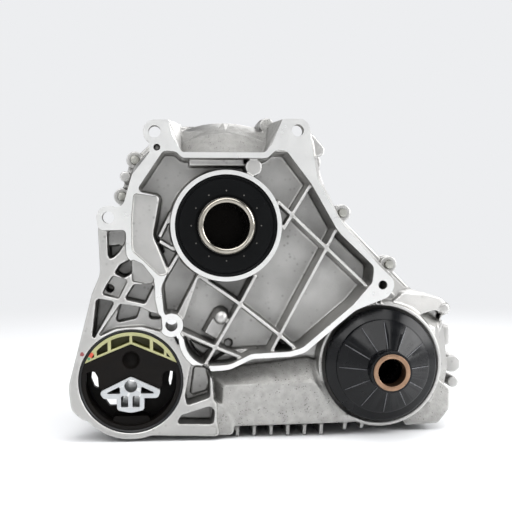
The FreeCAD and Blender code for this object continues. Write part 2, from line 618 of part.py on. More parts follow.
# ================================================================ split fasteners and plugs
def split_bolts():
    """Flanged hex bolts that close the case, heads on the rear half."""
    seat = REAR_Y + REAR_FLANGE_T
    bolts = []
    for place in SPLIT_BOLTS:
        shank = cylinder(place, SPLIT_BOLT_R, SPLIT_Y - BOLT_REACH, seat + 1.0)
        collar = cylinder(place, BOLT_HEAD_R, seat, seat + 1.4)
        bolts.append(fused([shank, collar, hexagon(place, BOLT_HEAD_R - 1.0, seat + 1.4, seat + BOLT_HEAD_T)]))
    return bolts


def hexagon(centre, radius, y0, y1):
    """Hexagonal bar along Y, radius to its corners."""
    corners = [polar(centre, radius, 60.0 * k) + (0,) for k in range(6)]
    return prism(corners, y0, y1)


def dowel_sleeves():
    """Hollow dowels round two of the split bolts."""
    return [tube(place, SPLIT_BOLT_R + BOLT_GAP, DOWEL_R, SPLIT_Y - DOWEL_REACH, REAR_Y + DOWEL_REACH)
            for place in dowel_places()]


PLUG_R = 9.0
PLUG_WASHER_R = 13.0
PLUG_WASHER_T = 1.5
PLUG_HEAD_T = 5.0
PLUG_REACH = 9.0
DRAIN_PLUG = (30.0, -165.0)
FILL_PLUG = (118.0, -165.0)
PLUG_SEAT_Y = REAR_Y + 34.0


def plug_tools():
    """Holes and spot faces for the drain and fill plugs."""
    tools = []
    for place in (DRAIN_PLUG, FILL_PLUG):
        tools.append(cylinder(place, PLUG_R, PLUG_SEAT_Y - 20.0, PLUG_SEAT_Y + 1.0))
    return tools


def plug(place):
    """Screw plug with a hexagon socket."""
    seat = PLUG_SEAT_Y + PLUG_WASHER_T
    body = fused([cylinder(place, PLUG_R, PLUG_SEAT_Y - PLUG_REACH, seat + 1.0),
                  cylinder(place, PLUG_WASHER_R - 0.5, seat, seat + PLUG_HEAD_T)])
    return body.cut(hexagon(place, 5.6, seat + PLUG_HEAD_T - 4.5, seat + PLUG_HEAD_T + 1.0))


def plug_washers():
    """Sealing washers under both plugs."""
    return [tube(place, PLUG_R, PLUG_WASHER_R, PLUG_SEAT_Y, PLUG_SEAT_Y + PLUG_WASHER_T)
            for place in (DRAIN_PLUG, FILL_PLUG)]


# ================================================================ bearings and seals
def bearing_outer(centre, size):
    """Outer race with lips that hold the rollers."""
    bore, outside, first, width = size
    wall = (outside - bore) * 0.28
    lip = wall + (outside - bore) * 0.1
    race = tube(centre, outside - wall, outside, first, first + width)
    lips = [tube(centre, outside - lip, outside - 0.5, y, y + 1.6) for y in (first, first + width - 1.6)]
    return fused([race] + lips)


def bearing_inner(centre, size):
    """Inner race."""
    bore, outside, first, width = size
    return tube(centre, bore, bore + (outside - bore) * 0.28, first, first + width)


def bearing_rollers(centre, size):
    """Rollers between two cage rings."""
    bore, outside, first, width = size
    wall = (outside - bore) * 0.28
    middle = (bore + outside) / 2.0
    radius = (outside - bore) / 2.0 - wall - ROLLING_GAP
    y0 = first + 3.6
    y1 = first + width - 3.6
    cage = [tube(centre, middle - radius * 0.5, middle + radius * 0.5, y, y + 1.2) for y in (y0 - 1.2, y1)]
    return cage + [cylinder(polar(centre, middle, 360.0 * k / ROLLERS), radius, y0, y1) for k in range(ROLLERS)]


def input_seal():
    """Broad lip seal round the input sleeve."""
    lip = SLEEVE_R + RUNNING_GAP
    first = MAIN_FRONT_BEARING[2] - 2.0
    return turned(INPUT, [
        (lip, 4.0), (SLEEVE_R + 3.0, 3.2), (SEAL_SEAT_R - 4.0, 3.2), (SEAL_SEAT_R - 3.4, 4.4),
        (SEAL_SEAT_R, 4.4), (SEAL_SEAT_R, first), (SEAL_SEAT_R - 3.0, first), (SEAL_SEAT_R - 3.0, 6.4),
        (SLEEVE_R + 2.4, 6.4), (lip, 7.4),
    ])


def front_output_seal():
    """Lip seal in front of the output bearing."""
    bore, outside, first, width = OUTPUT_FRONT_BEARING
    return tube(OUTPUT, bore + RUNNING_GAP, outside, first - 8.0, first)


def rear_output_seal():
    """Lip seal on the hub of the rear output flange."""
    return tube(INPUT, HUB_SEAT_R + RUNNING_GAP, SEAL_R, REAR_BOSS_Y - 9.0, REAR_BOSS_Y - 1.0)


# ================================================================ main shaft
def spline_bore(centre, radius, y0, y1):
    """Cutting tool for an internally splined bore; the tooth tips stand in by SPLINE_DEPTH."""
    corners = []
    step = 360.0 / SPLINE_TEETH
    for k in range(SPLINE_TEETH):
        for offset, r in ((-0.28, radius - SPLINE_DEPTH), (-0.22, radius), (0.22, radius),
                          (0.28, radius - SPLINE_DEPTH)):
            corners.append(polar(centre, r, step * (k + offset)) + (0,))
    return prism(corners, y0, y1)


def input_shaft():
    """Main shaft: splined input sleeve, journals, clutch seat and threaded rear end."""
    front_stop = MAIN_FRONT_BEARING[2] + MAIN_FRONT_BEARING[3]
    rear_seat = MAIN_REAR_BEARING[2]
    body = fused([
        cylinder(INPUT, SLEEVE_R, SLEEVE_Y, front_stop),
        cylinder(INPUT, SLEEVE_R + 4.0, front_stop, front_stop + 4.0),
        cylinder(INPUT, SHAFT_R, front_stop + 3.0, rear_seat - 8.0),
        cylinder(INPUT, MAIN_REAR_BEARING[0], rear_seat - 9.0, FLANGE_HUB_Y),
        cylinder(INPUT, FLANGE_SEAT_R, FLANGE_HUB_Y - 1.0, FLANGE_Y + FLANGE_T),
        cylinder(INPUT, THREAD_R, FLANGE_Y + FLANGE_T - 1.0, FLANGE_Y + FLANGE_T + NUT_T + 3.0),
    ])
    tools = [
        cylinder(INPUT, SLEEVE_BORE_R, SLEEVE_Y - 1.0, SLEEVE_Y + SLEEVE_BORE_DEPTH),
        spline_bore(INPUT, SLEEVE_BORE_R - 0.6, SLEEVE_Y + SLEEVE_BORE_DEPTH - 1.0, front_stop + 14.0),
    ]
    return cut_all(body, tools)


SHAFT_R = 24.0
FLANGE_SEAT_R = 15.0
FLANGE_HUB_Y = MAIN_REAR_BEARING[2] + MAIN_REAR_BEARING[3]
NUT_T = 9.0
NUT_R = 18.0
NEEDLE_T = 3.0


def sprocket(centre, bore, y0, y1):
    """Toothed chain wheel; a tooth points along the straight run's normal."""
    root = PITCH_R - 4.6
    tip = PITCH_R - 1.0
    start = math.degrees(math.atan2(OUTPUT[1] - INPUT[1], OUTPUT[0] - INPUT[0])) + 90.0
    corners = []
    for k in range(TEETH):
        angle = start + 360.0 * k / TEETH
        for half, r in ((-2.6, root), (-1.3, tip), (1.3, tip), (2.6, root)):
            corners.append(polar(centre, r, angle + math.degrees(half / r)) + (0,))
    return prism(corners, y0, y1).cut(cylinder(centre, bore, y0 - 1.0, y1 + 1.0))


def drive_sprocket():
    """Chain wheel that runs on the needle sleeve, with a hub that carries the clutch drum."""
    bore = SHAFT_R + NEEDLE_T + ROLLING_GAP
    wheel = sprocket(INPUT, bore, CHAIN_Y, CHAIN_Y + CHAIN_WIDTH)
    hub = tube(INPUT, bore, DRUM_SEAT_R, CHAIN_Y + CHAIN_WIDTH - 1.0, DRUM_Y + 5.0)
    return fused([wheel, hub])


DRUM_SEAT_R = 33.0


def needle_sleeve():
    """Needle bearing sleeve between main shaft and drive sprocket."""
    return tube(INPUT, SHAFT_R, SHAFT_R + NEEDLE_T, CHAIN_Y + 1.0, CHAIN_Y + CHAIN_WIDTH + 6.0)


def chain_frame():
    """Middle point, direction along and direction outward of every chain link."""
    along = math.degrees(math.atan2(OUTPUT[1] - INPUT[1], OUTPUT[0] - INPUT[0]))
    half_turn = TEETH // 2
    straight = (LINKS - TEETH) // 2
    step = 360.0 / TEETH
    frames = []
    for centre, start in ((OUTPUT, along + 90.0), (INPUT, along - 90.0)):
        side = 1.0 if centre is OUTPUT else -1.0
        origin = polar(INPUT if centre is OUTPUT else OUTPUT, PITCH_R, start)
        for k in range(straight):
            travel = polar((0.0, 0.0), side * (k + 0.5) * PITCH, along)
            frames.append(((origin[0] + travel[0], origin[1] + travel[1]), start))
        for k in range(half_turn):
            angle = start - (k + 0.5) * step
            frames.append((polar(centre, PITCH_R, angle), angle))
    return frames


def drive_chain():
    """Inverted-tooth chain on both wheels, as one closed band with a tooth on each link."""
    inner = []
    outer = []
    for place, angle in chain_frame():
        for t, n in ((2.6, -0.6), (1.0, -4.2), (-1.0, -4.2), (-2.6, -0.6)):
            forward = polar(place, n, angle)
            inner.append(polar(forward, t, angle + 90.0))
        for t in (0.36 * PITCH, -0.36 * PITCH):
            forward = polar(place, 5.4, angle)
            outer.append(polar(forward, t, angle + 90.0))
    y0 = CHAIN_Y + 0.5
    y1 = CHAIN_Y + CHAIN_WIDTH - 0.5
    loops = []
    for loop in (outer, inner):
        points = [Vector(x, y0, z) for x, z in loop]
        loops.append(Part.makePolygon(points + points[:1]))
    band = Part.Face(loops[0]).cut(Part.Face(loops[1]))
    return band.Faces[0].extrude(Vector(0, y1 - y0, 0))


# ================================================================ clutch
def clutch_drum():
    """Drum on the sprocket hub."""
    floor = tube(INPUT, DRUM_SEAT_R, DRUM_R, DRUM_Y, DRUM_Y + DRUM_WALL)
    wall = tube(INPUT, DRUM_R - DRUM_WALL, DRUM_R, DRUM_Y, DRUM_Y + DRUM_DEPTH)
    return fused([floor, wall])


def clutch_hub():
    """Hub on the main shaft that carries the friction plates."""
    first = DRUM_Y + DRUM_WALL + 2.0
    last = first + PLATE_COUNT * 2.0 * (PLATE_T + RUNNING_GAP) + 1.0
    rim = tube(INPUT, HUB_R - HUB_WALL, HUB_R, first, last)
    web = tube(INPUT, SHAFT_R, HUB_R, last - 5.0, last)
    return fused([rim, web])


def plate_y(index):
    """First y of a friction plate; its steel plate follows it."""
    return DRUM_Y + DRUM_WALL + 2.0 + index * 2.0 * (PLATE_T + RUNNING_GAP)


def friction_plates():
    """Friction plates carried by the clutch hub."""
    return [tube(INPUT, HUB_R, DRUM_R - DRUM_WALL - PLATE_GAP, plate_y(k), plate_y(k) + PLATE_T)
            for k in range(PLATE_COUNT)]


def steel_plates():
    """Steel plates carried by the drum."""
    shift = PLATE_T + RUNNING_GAP
    return [tube(INPUT, HUB_R + PLATE_GAP, DRUM_R - DRUM_WALL, plate_y(k) + shift, plate_y(k) + shift + PLATE_T)
            for k in range(PLATE_COUNT)]


def pressure_ring():
    """Ring that presses the plates together, carried by the drum."""
    first = plate_y(PLATE_COUNT)
    return tube(INPUT, HUB_R + 1.0, DRUM_R - DRUM_WALL, first, first + 5.0)


# ================================================================ rear output
def rear_output_flange():
    """Flange for the rear propeller shaft."""
    hub = tube(INPUT, FLANGE_SEAT_R, HUB_SEAT_R, FLANGE_HUB_Y, FLANGE_Y + FLANGE_T)
    disc = tube(INPUT, HUB_SEAT_R - 1.0, FLANGE_R, FLANGE_Y, FLANGE_Y + FLANGE_T)
    holes = [cylinder(polar(INPUT, FLANGE_PCD_R, 45.0 + 360.0 * k / FLANGE_HOLES), FLANGE_HOLE_R,
                      FLANGE_Y - 1.0, FLANGE_Y + FLANGE_T + 1.0) for k in range(FLANGE_HOLES)]
    return cut_all(fused([hub, disc]), holes)


def flange_nut():
    """Nut that holds the rear flange on the main shaft."""
    first = FLANGE_Y + FLANGE_T
    return hexagon(INPUT, NUT_R, first, first + NUT_T).cut(cylinder(INPUT, THREAD_R, first - 1.0, first + 20.0))


# ================================================================ front output
def front_output_shaft():
    """Front output shaft with a splined bore."""
    bore, outside, first, width = OUTPUT_FRONT_BEARING
    rear_first = OUTPUT_REAR_BEARING[2]
    body = fused([
        cylinder(OUTPUT, HUB_RING_R, SHAFT_NOSE_Y, first - 12.0),
        cylinder(OUTPUT, bore, first - 12.0, first + width),
        cylinder(OUTPUT, bore + 5.0, first + width, CHAIN_Y),
        cylinder(OUTPUT, SPROCKET_SEAT_R, CHAIN_Y - 1.0, CHAIN_Y + CHAIN_WIDTH),
        cylinder(OUTPUT, OUTPUT_REAR_BEARING[0], CHAIN_Y + CHAIN_WIDTH - 1.0, rear_first + OUTPUT_REAR_BEARING[3]),
    ])
    tools = [
        cylinder(OUTPUT, OUTPUT_BORE_R, SHAFT_NOSE_Y - 1.0, SHAFT_NOSE_Y + 16.0),
        spline_bore(OUTPUT, OUTPUT_BORE_R - 0.4, SHAFT_NOSE_Y + 15.0, first + width),
    ]
    return cut_all(body, tools)


SPROCKET_SEAT_R = 20.0


def driven_sprocket():
    """Chain wheel on the front output shaft, with a spacer hub to the rear bearing."""
    wheel = sprocket(OUTPUT, SPROCKET_SEAT_R, CHAIN_Y, CHAIN_Y + CHAIN_WIDTH)
    hub = tube(OUTPUT, OUTPUT_REAR_BEARING[0], SPROCKET_SEAT_R + 4.0, CHAIN_Y + CHAIN_WIDTH,
               OUTPUT_REAR_BEARING[2])
    return fused([wheel, hub])


def hub_ring():
    """Bronze ring at the mouth of the front output."""
    return tube(OUTPUT, OUTPUT_BORE_R, HUB_RING_R, HUB_RING_Y, SHAFT_NOSE_Y)


def dust_shield():
    """Conical dust shield on the output hub, with a neck, raised radial ribs and a rolled rim."""
    wall = SHIELD_WALL
    shell = turned(OUTPUT, [
        (HUB_RING_R, NECK_Y), (NECK_R, NECK_Y), (NECK_R, NECK_FOOT_Y), (CONE_R - 1.0, CONE_Y),
        (CONE_R, CONE_Y + 1.0), (CONE_R, CONE_Y + 5.0), (RIM_R - 1.5, RIM_Y), (RIM_R, RIM_Y + 1.5),
        (RIM_R, RIM_Y + RIM_DEPTH), (RIM_R - wall, RIM_Y + RIM_DEPTH), (RIM_R - wall, RIM_Y + wall),
        (CONE_R - wall, CONE_Y + 5.0 + wall), (CONE_R - wall, CONE_Y + wall), (NECK_R + 2.0, NECK_FOOT_Y + wall),
        (HUB_RING_R, NECK_FOOT_Y + wall + 2.0),
    ])
    slope = (CONE_Y - NECK_FOOT_Y) / (CONE_R - 1.0 - NECK_R)
    ribs = []
    for k in range(SHIELD_RIBS):
        r0 = NECK_R - 0.6
        r1 = CONE_R - 1.6
        profile = [(r0, NECK_FOOT_Y - 0.8), (r1, NECK_FOOT_Y - 0.8 + slope * (r1 - NECK_R)),
                   (r1, CONE_Y + 0.5), (r0, NECK_FOOT_Y + 1.0)]
        points = [Vector(OUTPUT[0] + r, y, OUTPUT[1] - 0.45) for r, y in profile]
        fin = Part.Face(Part.makePolygon(points + points[:1])).extrude(Vector(0, 0, 0.9))
        fin.rotate(Vector(OUTPUT[0], 0, OUTPUT[1]), Vector(0, 1, 0), 360.0 * k / SHIELD_RIBS)
        ribs.append(fin)
    return fused([shell] + ribs)


# ================================================================ mount bush
def bush(points):
    """Corner list moved from bush offsets to the case frame."""
    return [(BUSH[0] + x, BUSH[1] + z, r) for x, z, r in points]


def bush_can():
    """Outer can of the mount bush, with a rolled front lip."""
    return turned(BUSH, [
        (CAN_R - CAN_WALL, ARM_Y + 2.0), (CAN_R - 1.0, ARM_Y + 0.6), (CAN_R, ARM_Y + 1.4), (CAN_R, CAN_END_Y),
        (CAN_R - CAN_WALL, CAN_END_Y),
    ])


CHEVRON = [(0.0, 34.6, 3), (-31.5, 21.6, 2), (-44.0, 16.0, 0), (-47.0, 30.0, 0), (-30.0, 52.0, 0),
           (30.0, 52.0, 0), (47.0, 30.0, 0), (44.0, 16.0, 0), (31.5, 21.6, 2)]
CORE_EDGE = [
    (0.0, 4.6, 4), (27.6, -8.2, 3.2), (24.6, -15.3, 3.2), (12.2, -15.4, 1), (12.2, -26.2, 3), (0.0, -29.2, 20),
    (-12.8, -26.2, 3), (-12.8, -15.8, 1), (-25.0, -15.6, 3.2), (-29.2, -9.6, 3.2),
]
CORE_WINDOWS = [
    [(-10.4, -4.6, 1), (-9.8, -11.2, 1), (-24.4, -11.2, 0.8)],
    [(9.6, -4.6, 1), (9.0, -11.2, 1), (23.4, -11.2, 0.8)],
    [(-9.2, -13.2, 2), (-2.6, -13.2, 2), (-2.6, -23.6, 0.8), (-9.2, -23.6, 0.8)],
    [(1.4, -13.2, 2), (8.0, -13.2, 2), (8.0, -23.6, 0.8), (1.4, -23.6, 0.8)],
]


def rubber_inner_r():
    """Inner radius of the rubber lining of the can."""
    return CAN_R - CAN_WALL - RUBBER_RING_T


def bush_insert():
    """Ribbed plastic segment that fills the top of the can above the rubber."""
    radius = CAN_R - CAN_WALL
    segment = prism(bush(CHEVRON), ARM_Y + 1.0, ARM_Y + INSERT_DEPTH).common(
        cylinder(BUSH, radius, ARM_Y, ARM_Y + INSERT_DEPTH + 1.0))
    lower = [(x, z + 2.0, r) for x, z, r in CHEVRON]
    windows = prism(bush(lower), ARM_Y, ARM_Y + INSERT_DEPTH - 3.0).common(
        cylinder(BUSH, radius - 3.2, ARM_Y - 1.0, ARM_Y + INSERT_DEPTH))
    bars = [block(BUSH[0] + x - w / 2.0, BUSH[0] + x + w / 2.0, ARM_Y, ARM_Y + INSERT_DEPTH, BUSH[1], BUSH[1] + 50.0)
            for x, w in ((-32.4, 2.4), (-19.7, 3.0), (0.0, 2.4), (18.9, 3.0), (31.6, 2.4))]
    return segment.cut(windows.cut(fused(bars)))


def bush_rubber():
    """Rubber body: lining of the can, chevron block above the core and the bump stop below it."""
    radius = CAN_R - CAN_WALL
    first = ARM_Y + 1.5
    last = CAN_END_Y - 2.0
    lining = tube(BUSH, rubber_inner_r(), radius, first, last)
    top = [(0.0, 34.2, 3), (31.5, 21.2, 2), (46.0, 15.2, 0), (46.0, 6.0, 0), (29.0, 12.0, 6), (28.4, -9.0, 4),
           (0.0, 4.0, 0), (-29.6, -10.0, 4), (-29.8, 12.0, 6), (-46.0, 6.0, 0), (-46.0, 15.2, 0), (-31.5, 21.2, 2)]
    chevron = prism(bush(top), first, last).common(cylinder(BUSH, radius, first, last))
    stop = prism(bush([(-16.0, -34.0, 3), (16.0, -34.0, 3), (20.0, -46.0, 0), (-20.0, -46.0, 0)]), first + 8.0, last)
    body = fused([lining, chevron, stop.common(cylinder(BUSH, radius, first, last))])
    over_insert = prism(bush(CHEVRON), first - 2.0, ARM_Y + INSERT_DEPTH)
    dome = Part.makeSphere(8.2, Vector(BUSH[0], first, BUSH[1] + 19.6))
    return cut_all(body, [over_insert, dome, prism(bush(CORE_EDGE), first - 1.0, last + 1.0)])


def bush_core():
    """Aluminium core with a bolt hole and four windows."""
    body = prism(bush(CORE_EDGE), CORE_FRONT_Y, CORE_BACK_Y)
    tools = [prism(bush(window), CORE_FRONT_Y - 1.0, CORE_BACK_Y + 1.0) for window in CORE_WINDOWS]
    tools.append(cylinder((BUSH[0], BUSH[1] - 4.1), CORE_BORE_R, CORE_FRONT_Y - 1.0, CORE_BACK_Y + 1.0))
    return cut_all(body, tools)


# ================================================================ actuator
MOTOR = (98.0, -60.0)
MOTOR_R = 24.0
MOTOR_SEAT_Y = REAR_Y + 30.0
MOTOR_LENGTH = 46.0
MOTOR_SCREW_R = 3.0
MOTOR_SCREW_PCD_R = 30.0


def actuator_pad():
    """Pad on the rear half that carries the clutch motor."""
    pad = [cylinder(MOTOR, MOTOR_R + 4.0, REAR_Y + REAR_FLANGE_T - 1.0, MOTOR_SEAT_Y)]
    pad += [cylinder(place, 7.0, REAR_Y + REAR_FLANGE_T - 1.0, MOTOR_SEAT_Y) for place in motor_screw_places()]
    return pad


def motor_screw_places():
    """Where the motor's two screws sit."""
    return [polar(MOTOR, MOTOR_SCREW_PCD_R, angle) for angle in (48.0, 228.0)]


def actuator_motor():
    """Electric motor of the clutch actuator with its mounting flange."""
    ears = [cylinder(place, 6.5, MOTOR_SEAT_Y, MOTOR_SEAT_Y + 6.0) for place in motor_screw_places()]
    web = [rib(MOTOR, place, 12.0, MOTOR_SEAT_Y, MOTOR_SEAT_Y + 6.0, 12.0) for place in motor_screw_places()]
    can = [
        cylinder(MOTOR, MOTOR_R, MOTOR_SEAT_Y, MOTOR_SEAT_Y + MOTOR_LENGTH - 4.0),
        cone(MOTOR, MOTOR_R, MOTOR_R - 4.0, MOTOR_SEAT_Y + MOTOR_LENGTH - 4.0, MOTOR_SEAT_Y + MOTOR_LENGTH),
    ]
    holes = [cylinder(place, MOTOR_SCREW_R + 0.3, MOTOR_SEAT_Y - 1.0, MOTOR_SEAT_Y + 9.0)
             for place in motor_screw_places()]
    return cut_all(fused(can + ears + web), holes)


def motor_screws():
    """Screws of the actuator motor."""
    seat = MOTOR_SEAT_Y + 6.0
    return [fused([cylinder(place, MOTOR_SCREW_R, MOTOR_SEAT_Y, seat + 1.0), cylinder(place, 5.2, seat, seat + 5.0)])
            for place in motor_screw_places()]


def motor_connector():
    """Plastic plug socket on the motor."""
    x, z = polar(MOTOR, MOTOR_R, 180.0)
    y0 = MOTOR_SEAT_Y + 20.0
    shell = block(x - 20.0, x + 1.0, y0, y0 + 16.0, z - 7.0, z + 7.0)
    hollow = block(x - 21.0, x - 8.0, y0 + 2.0, y0 + 14.0, z - 5.0, z + 5.0)
    return shell.cut(hollow).cut(cylinder(MOTOR, MOTOR_R, y0 - 1.0, y0 + 20.0))


def main():
    """Build every piece and write one STEP file for each."""
    os.makedirs("parts", exist_ok=True)
    nodes = {
        "front_housing": front_housing(),
        "rear_housing": rear_housing(),
        "split_gasket": split_gasket(),
        "split_bolts": split_bolts(),
        "dowel_sleeves": dowel_sleeves(),
        "drain_plug": plug(DRAIN_PLUG),
        "fill_plug": plug(FILL_PLUG),
        "plug_washers": plug_washers(),
        "input_seal": input_seal(),
        "front_output_seal": front_output_seal(),
        "rear_output_seal": rear_output_seal(),
        "input_shaft": input_shaft(),
        "needle_sleeve": needle_sleeve(),
        "drive_sprocket": drive_sprocket(),
        "drive_chain": drive_chain(),
        "driven_sprocket": driven_sprocket(),
        "clutch_drum": clutch_drum(),
        "clutch_hub": clutch_hub(),
        "friction_plates": friction_plates(),
        "steel_plates": steel_plates(),
        "pressure_ring": pressure_ring(),
        "rear_output_flange": rear_output_flange(),
        "flange_nut": flange_nut(),
        "front_output_shaft": front_output_shaft(),
        "hub_ring": hub_ring(),
        "dust_shield": dust_shield(),
        "bush_can": bush_can(),
        "bush_insert": bush_insert(),
        "bush_rubber": bush_rubber(),
        "bush_core": bush_core(),
        "actuator_motor": actuator_motor(),
        "motor_screws": motor_screws(),
        "motor_connector": motor_connector(),
    }
    bearings = {
        "main_front_bearing": (INPUT, MAIN_FRONT_BEARING),
        "main_rear_bearing": (INPUT, MAIN_REAR_BEARING),
        "output_front_bearing": (OUTPUT, OUTPUT_FRONT_BEARING),
        "output_rear_bearing": (OUTPUT, OUTPUT_REAR_BEARING),
    }
    for name, (centre, size) in bearings.items():
        nodes[name + "_outer"] = bearing_outer(centre, size)
        nodes[name + "_inner"] = bearing_inner(centre, size)
        nodes[name + "_rollers"] = bearing_rollers(centre, size)
    for name, shape in nodes.items():
        if isinstance(shape, list):
            shape = Part.makeCompound(shape)
        solids = shape.Solids
        print(name, len(solids), "solids", round(sum(s.Volume for s in solids)), "mm3",
              "valid" if shape.isValid() else "NOT VALID")
        if len(solids) == 1:
            shape = solids[0]
        else:
            shape = Part.makeCompound(solids)
        shape.exportStep("parts/" + name + ".step")


main()
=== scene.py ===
"""Transfer case of a chain-driven all-wheel-drive gearbox, dressed and lit for a studio view.

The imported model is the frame: every piece takes its place from it, in metres, with +Z up, +Y from
the gearbox joint toward the rear of the case, and +X toward the front output. The castings get the
soft edges and the skin of a die casting, and the turned, moulded and rubber pieces their finishes.
"""

import json
import logging
import math
from dataclasses import dataclass, field
from enum import Enum, IntEnum

import bmesh
import bpy
import numpy as np
from mathutils import Euler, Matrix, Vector

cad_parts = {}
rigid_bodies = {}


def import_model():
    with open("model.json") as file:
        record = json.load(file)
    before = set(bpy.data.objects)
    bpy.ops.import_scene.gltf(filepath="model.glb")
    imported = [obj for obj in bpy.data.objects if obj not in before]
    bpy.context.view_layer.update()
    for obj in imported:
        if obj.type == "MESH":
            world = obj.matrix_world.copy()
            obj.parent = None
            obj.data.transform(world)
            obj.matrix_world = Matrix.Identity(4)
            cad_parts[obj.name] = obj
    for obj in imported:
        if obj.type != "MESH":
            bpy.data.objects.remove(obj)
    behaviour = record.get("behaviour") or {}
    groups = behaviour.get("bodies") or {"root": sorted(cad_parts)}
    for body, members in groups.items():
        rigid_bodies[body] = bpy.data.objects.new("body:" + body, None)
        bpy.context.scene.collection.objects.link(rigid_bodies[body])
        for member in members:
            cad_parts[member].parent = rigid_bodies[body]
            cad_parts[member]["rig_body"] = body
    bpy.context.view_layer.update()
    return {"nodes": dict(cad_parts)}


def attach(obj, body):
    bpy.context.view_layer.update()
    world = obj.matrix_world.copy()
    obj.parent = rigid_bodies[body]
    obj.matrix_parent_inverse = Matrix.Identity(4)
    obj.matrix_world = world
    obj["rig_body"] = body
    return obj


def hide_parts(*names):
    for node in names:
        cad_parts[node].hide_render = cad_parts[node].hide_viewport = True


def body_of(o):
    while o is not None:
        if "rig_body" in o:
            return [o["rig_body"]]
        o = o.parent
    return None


MM = 0.001
# Points closer than this, in metres, are one.
MERGE = 1e-6
# Degrees: faces flatter than the first join into one, and edges sharper than the second stay sharp.
FLAT_ANGLE = 1.0
SHARP_ANGLE = 35.0
# A corner this near to a straight line, in radians, isn't rounded.
STRAIGHT = 1e-3
# A wave texture of scale 1 repeats its rings at this distance.
WAVE_STEP = 0.314
# A point is x and z, a corner adds its radius, and a place is x, y and z.
Point = tuple[float, float]
Corner = tuple[float, float, float]
Place = tuple[float, float, float]
INPUT: Point = (0.0, 0.0)
OUTPUT: Point = (147.0, -132.0)
BUSH: Point = (-88.3, -143.5)
log = logging.getLogger("transfer_case")


# ---------------------------------------------------------------- colour, nodes and meshes
def linear(colour: str) -> tuple[float, float, float, float]:
    """Turn an sRGB hex colour into the linear colour that a shader wants.

    Args:
        colour: Six hex digits with a leading hash.

    Returns:
        Linear red, green and blue, and an alpha of 1.
    """
    parts = [int(colour[i : i + 2], 16) / 255.0 for i in (1, 3, 5)]
    flat = [p / 12.92 if p <= 0.04045 else ((p + 0.055) / 1.055) ** 2.4 for p in parts]
    return (flat[0], flat[1], flat[2], 1.0)


def put(tree: bpy.types.NodeTree, kind: str, wires: dict | None = None, **settings: object) -> bpy.types.Node:
    """Add a node to a tree with its settings and links.

    Args:
        tree: The node tree.
        kind: The node's type name.
        wires: Socket name or number to a value, or to the output socket that feeds it.
        settings: Attributes of the node.

    Returns:
        The node.
    """
    made = tree.nodes.new(kind)
    for name, value in settings.items():
        setattr(made, name, value)
    for socket, value in (wires or {}).items():
        if isinstance(value, bpy.types.NodeSocket):
            tree.links.new(value, made.inputs[socket])
        else:
            made.inputs[socket].default_value = value
    return made


def new_piece(name: str, mesh: bpy.types.Mesh) -> bpy.types.Object:
    """Link a mesh into the scene as an object at the origin.

    Args:
        name: The object's name.
        mesh: Its mesh, in metres in the frame.

    Returns:
        The object.
    """
    piece = bpy.data.objects.new(name, mesh)
    mesh.name = name
    bpy.context.scene.collection.objects.link(piece)
    return piece


def applied(piece: bpy.types.Object) -> bpy.types.Object:
    """Turn a piece's modifiers into plain mesh.

    Args:
        piece: An object with live modifiers.

    Returns:
        The same object, without modifiers.
    """
    graph = bpy.context.evaluated_depsgraph_get()
    graph.update()
    baked = bpy.data.meshes.new_from_object(piece.evaluated_get(graph), depsgraph=graph)
    worn_out = piece.data
    piece.modifiers.clear()
    piece.data = baked
    bpy.data.meshes.remove(worn_out)
    baked.name = piece.name
    return piece


def merged_copy(name: str, node: bpy.types.Object) -> bpy.types.Object:
    """Copy a CAD node's mesh with its loose triangles joined.

    Args:
        name: The copy's name.
        node: The CAD node.

    Returns:
        The copy, as an object of its own.
    """
    shell = bmesh.new()
    shell.from_mesh(node.data)
    bmesh.ops.remove_doubles(shell, verts=shell.verts, dist=MERGE)
    mesh = bpy.data.meshes.new(name)
    shell.to_mesh(mesh)
    shell.free()
    return new_piece(name, mesh)


def eased_copy(name: str, node: bpy.types.Object, width: float, segments: int = 2) -> bpy.types.Object:
    """Copy a CAD node with its sharp edges broken by a small bevel.

    Args:
        name: The copy's name.
        node: The CAD node.
        width: Bevel width in metres.
        segments: Bevel segments.

    Returns:
        The copy, smooth shaded.
    """
    piece = merged_copy(name, node)
    shell = bmesh.new()
    shell.from_mesh(piece.data)
    bmesh.ops.dissolve_limit(
        shell, angle_limit=math.radians(FLAT_ANGLE), verts=shell.verts, edges=shell.edges, delimit=set()
    )
    shell.to_mesh(piece.data)
    shell.free()
    ease = piece.modifiers.new("eased_edges", "BEVEL")
    ease.width = width
    ease.segments = segments
    ease.limit_method = "ANGLE"
    ease.angle_limit = math.radians(SHARP_ANGLE)
    ease.harden_normals = False
    applied(piece)
    smooth(piece, SHARP_ANGLE)
    return piece


def joined(piece: bpy.types.Object, other: bpy.types.Object) -> bpy.types.Object:
    """Join a second piece's shell to a piece.

    Args:
        piece: The piece that stays.
        other: The piece that goes into it.

    Returns:
        The piece.
    """
    shell = bmesh.new()
    shell.from_mesh(piece.data)
    shell.from_mesh(other.data)
    shell.to_mesh(piece.data)
    shell.free()
    bpy.data.objects.remove(other)
    return piece


def vertex_places(mesh: bpy.types.Mesh) -> np.ndarray:
    """Read a mesh's points.

    Args:
        mesh: The mesh.

    Returns:
        One row of x, y and z in millimetres for each point.
    """
    places = np.empty(len(mesh.vertices) * 3)
    mesh.vertices.foreach_get("co", places)
    return places.reshape(-1, 3) / MM


def place_vertices(mesh: bpy.types.Mesh, places: np.ndarray) -> None:
    """Move a mesh's points to places in millimetres, one row each."""
    mesh.vertices.foreach_set("co", places.ravel() * MM)
    mesh.update()


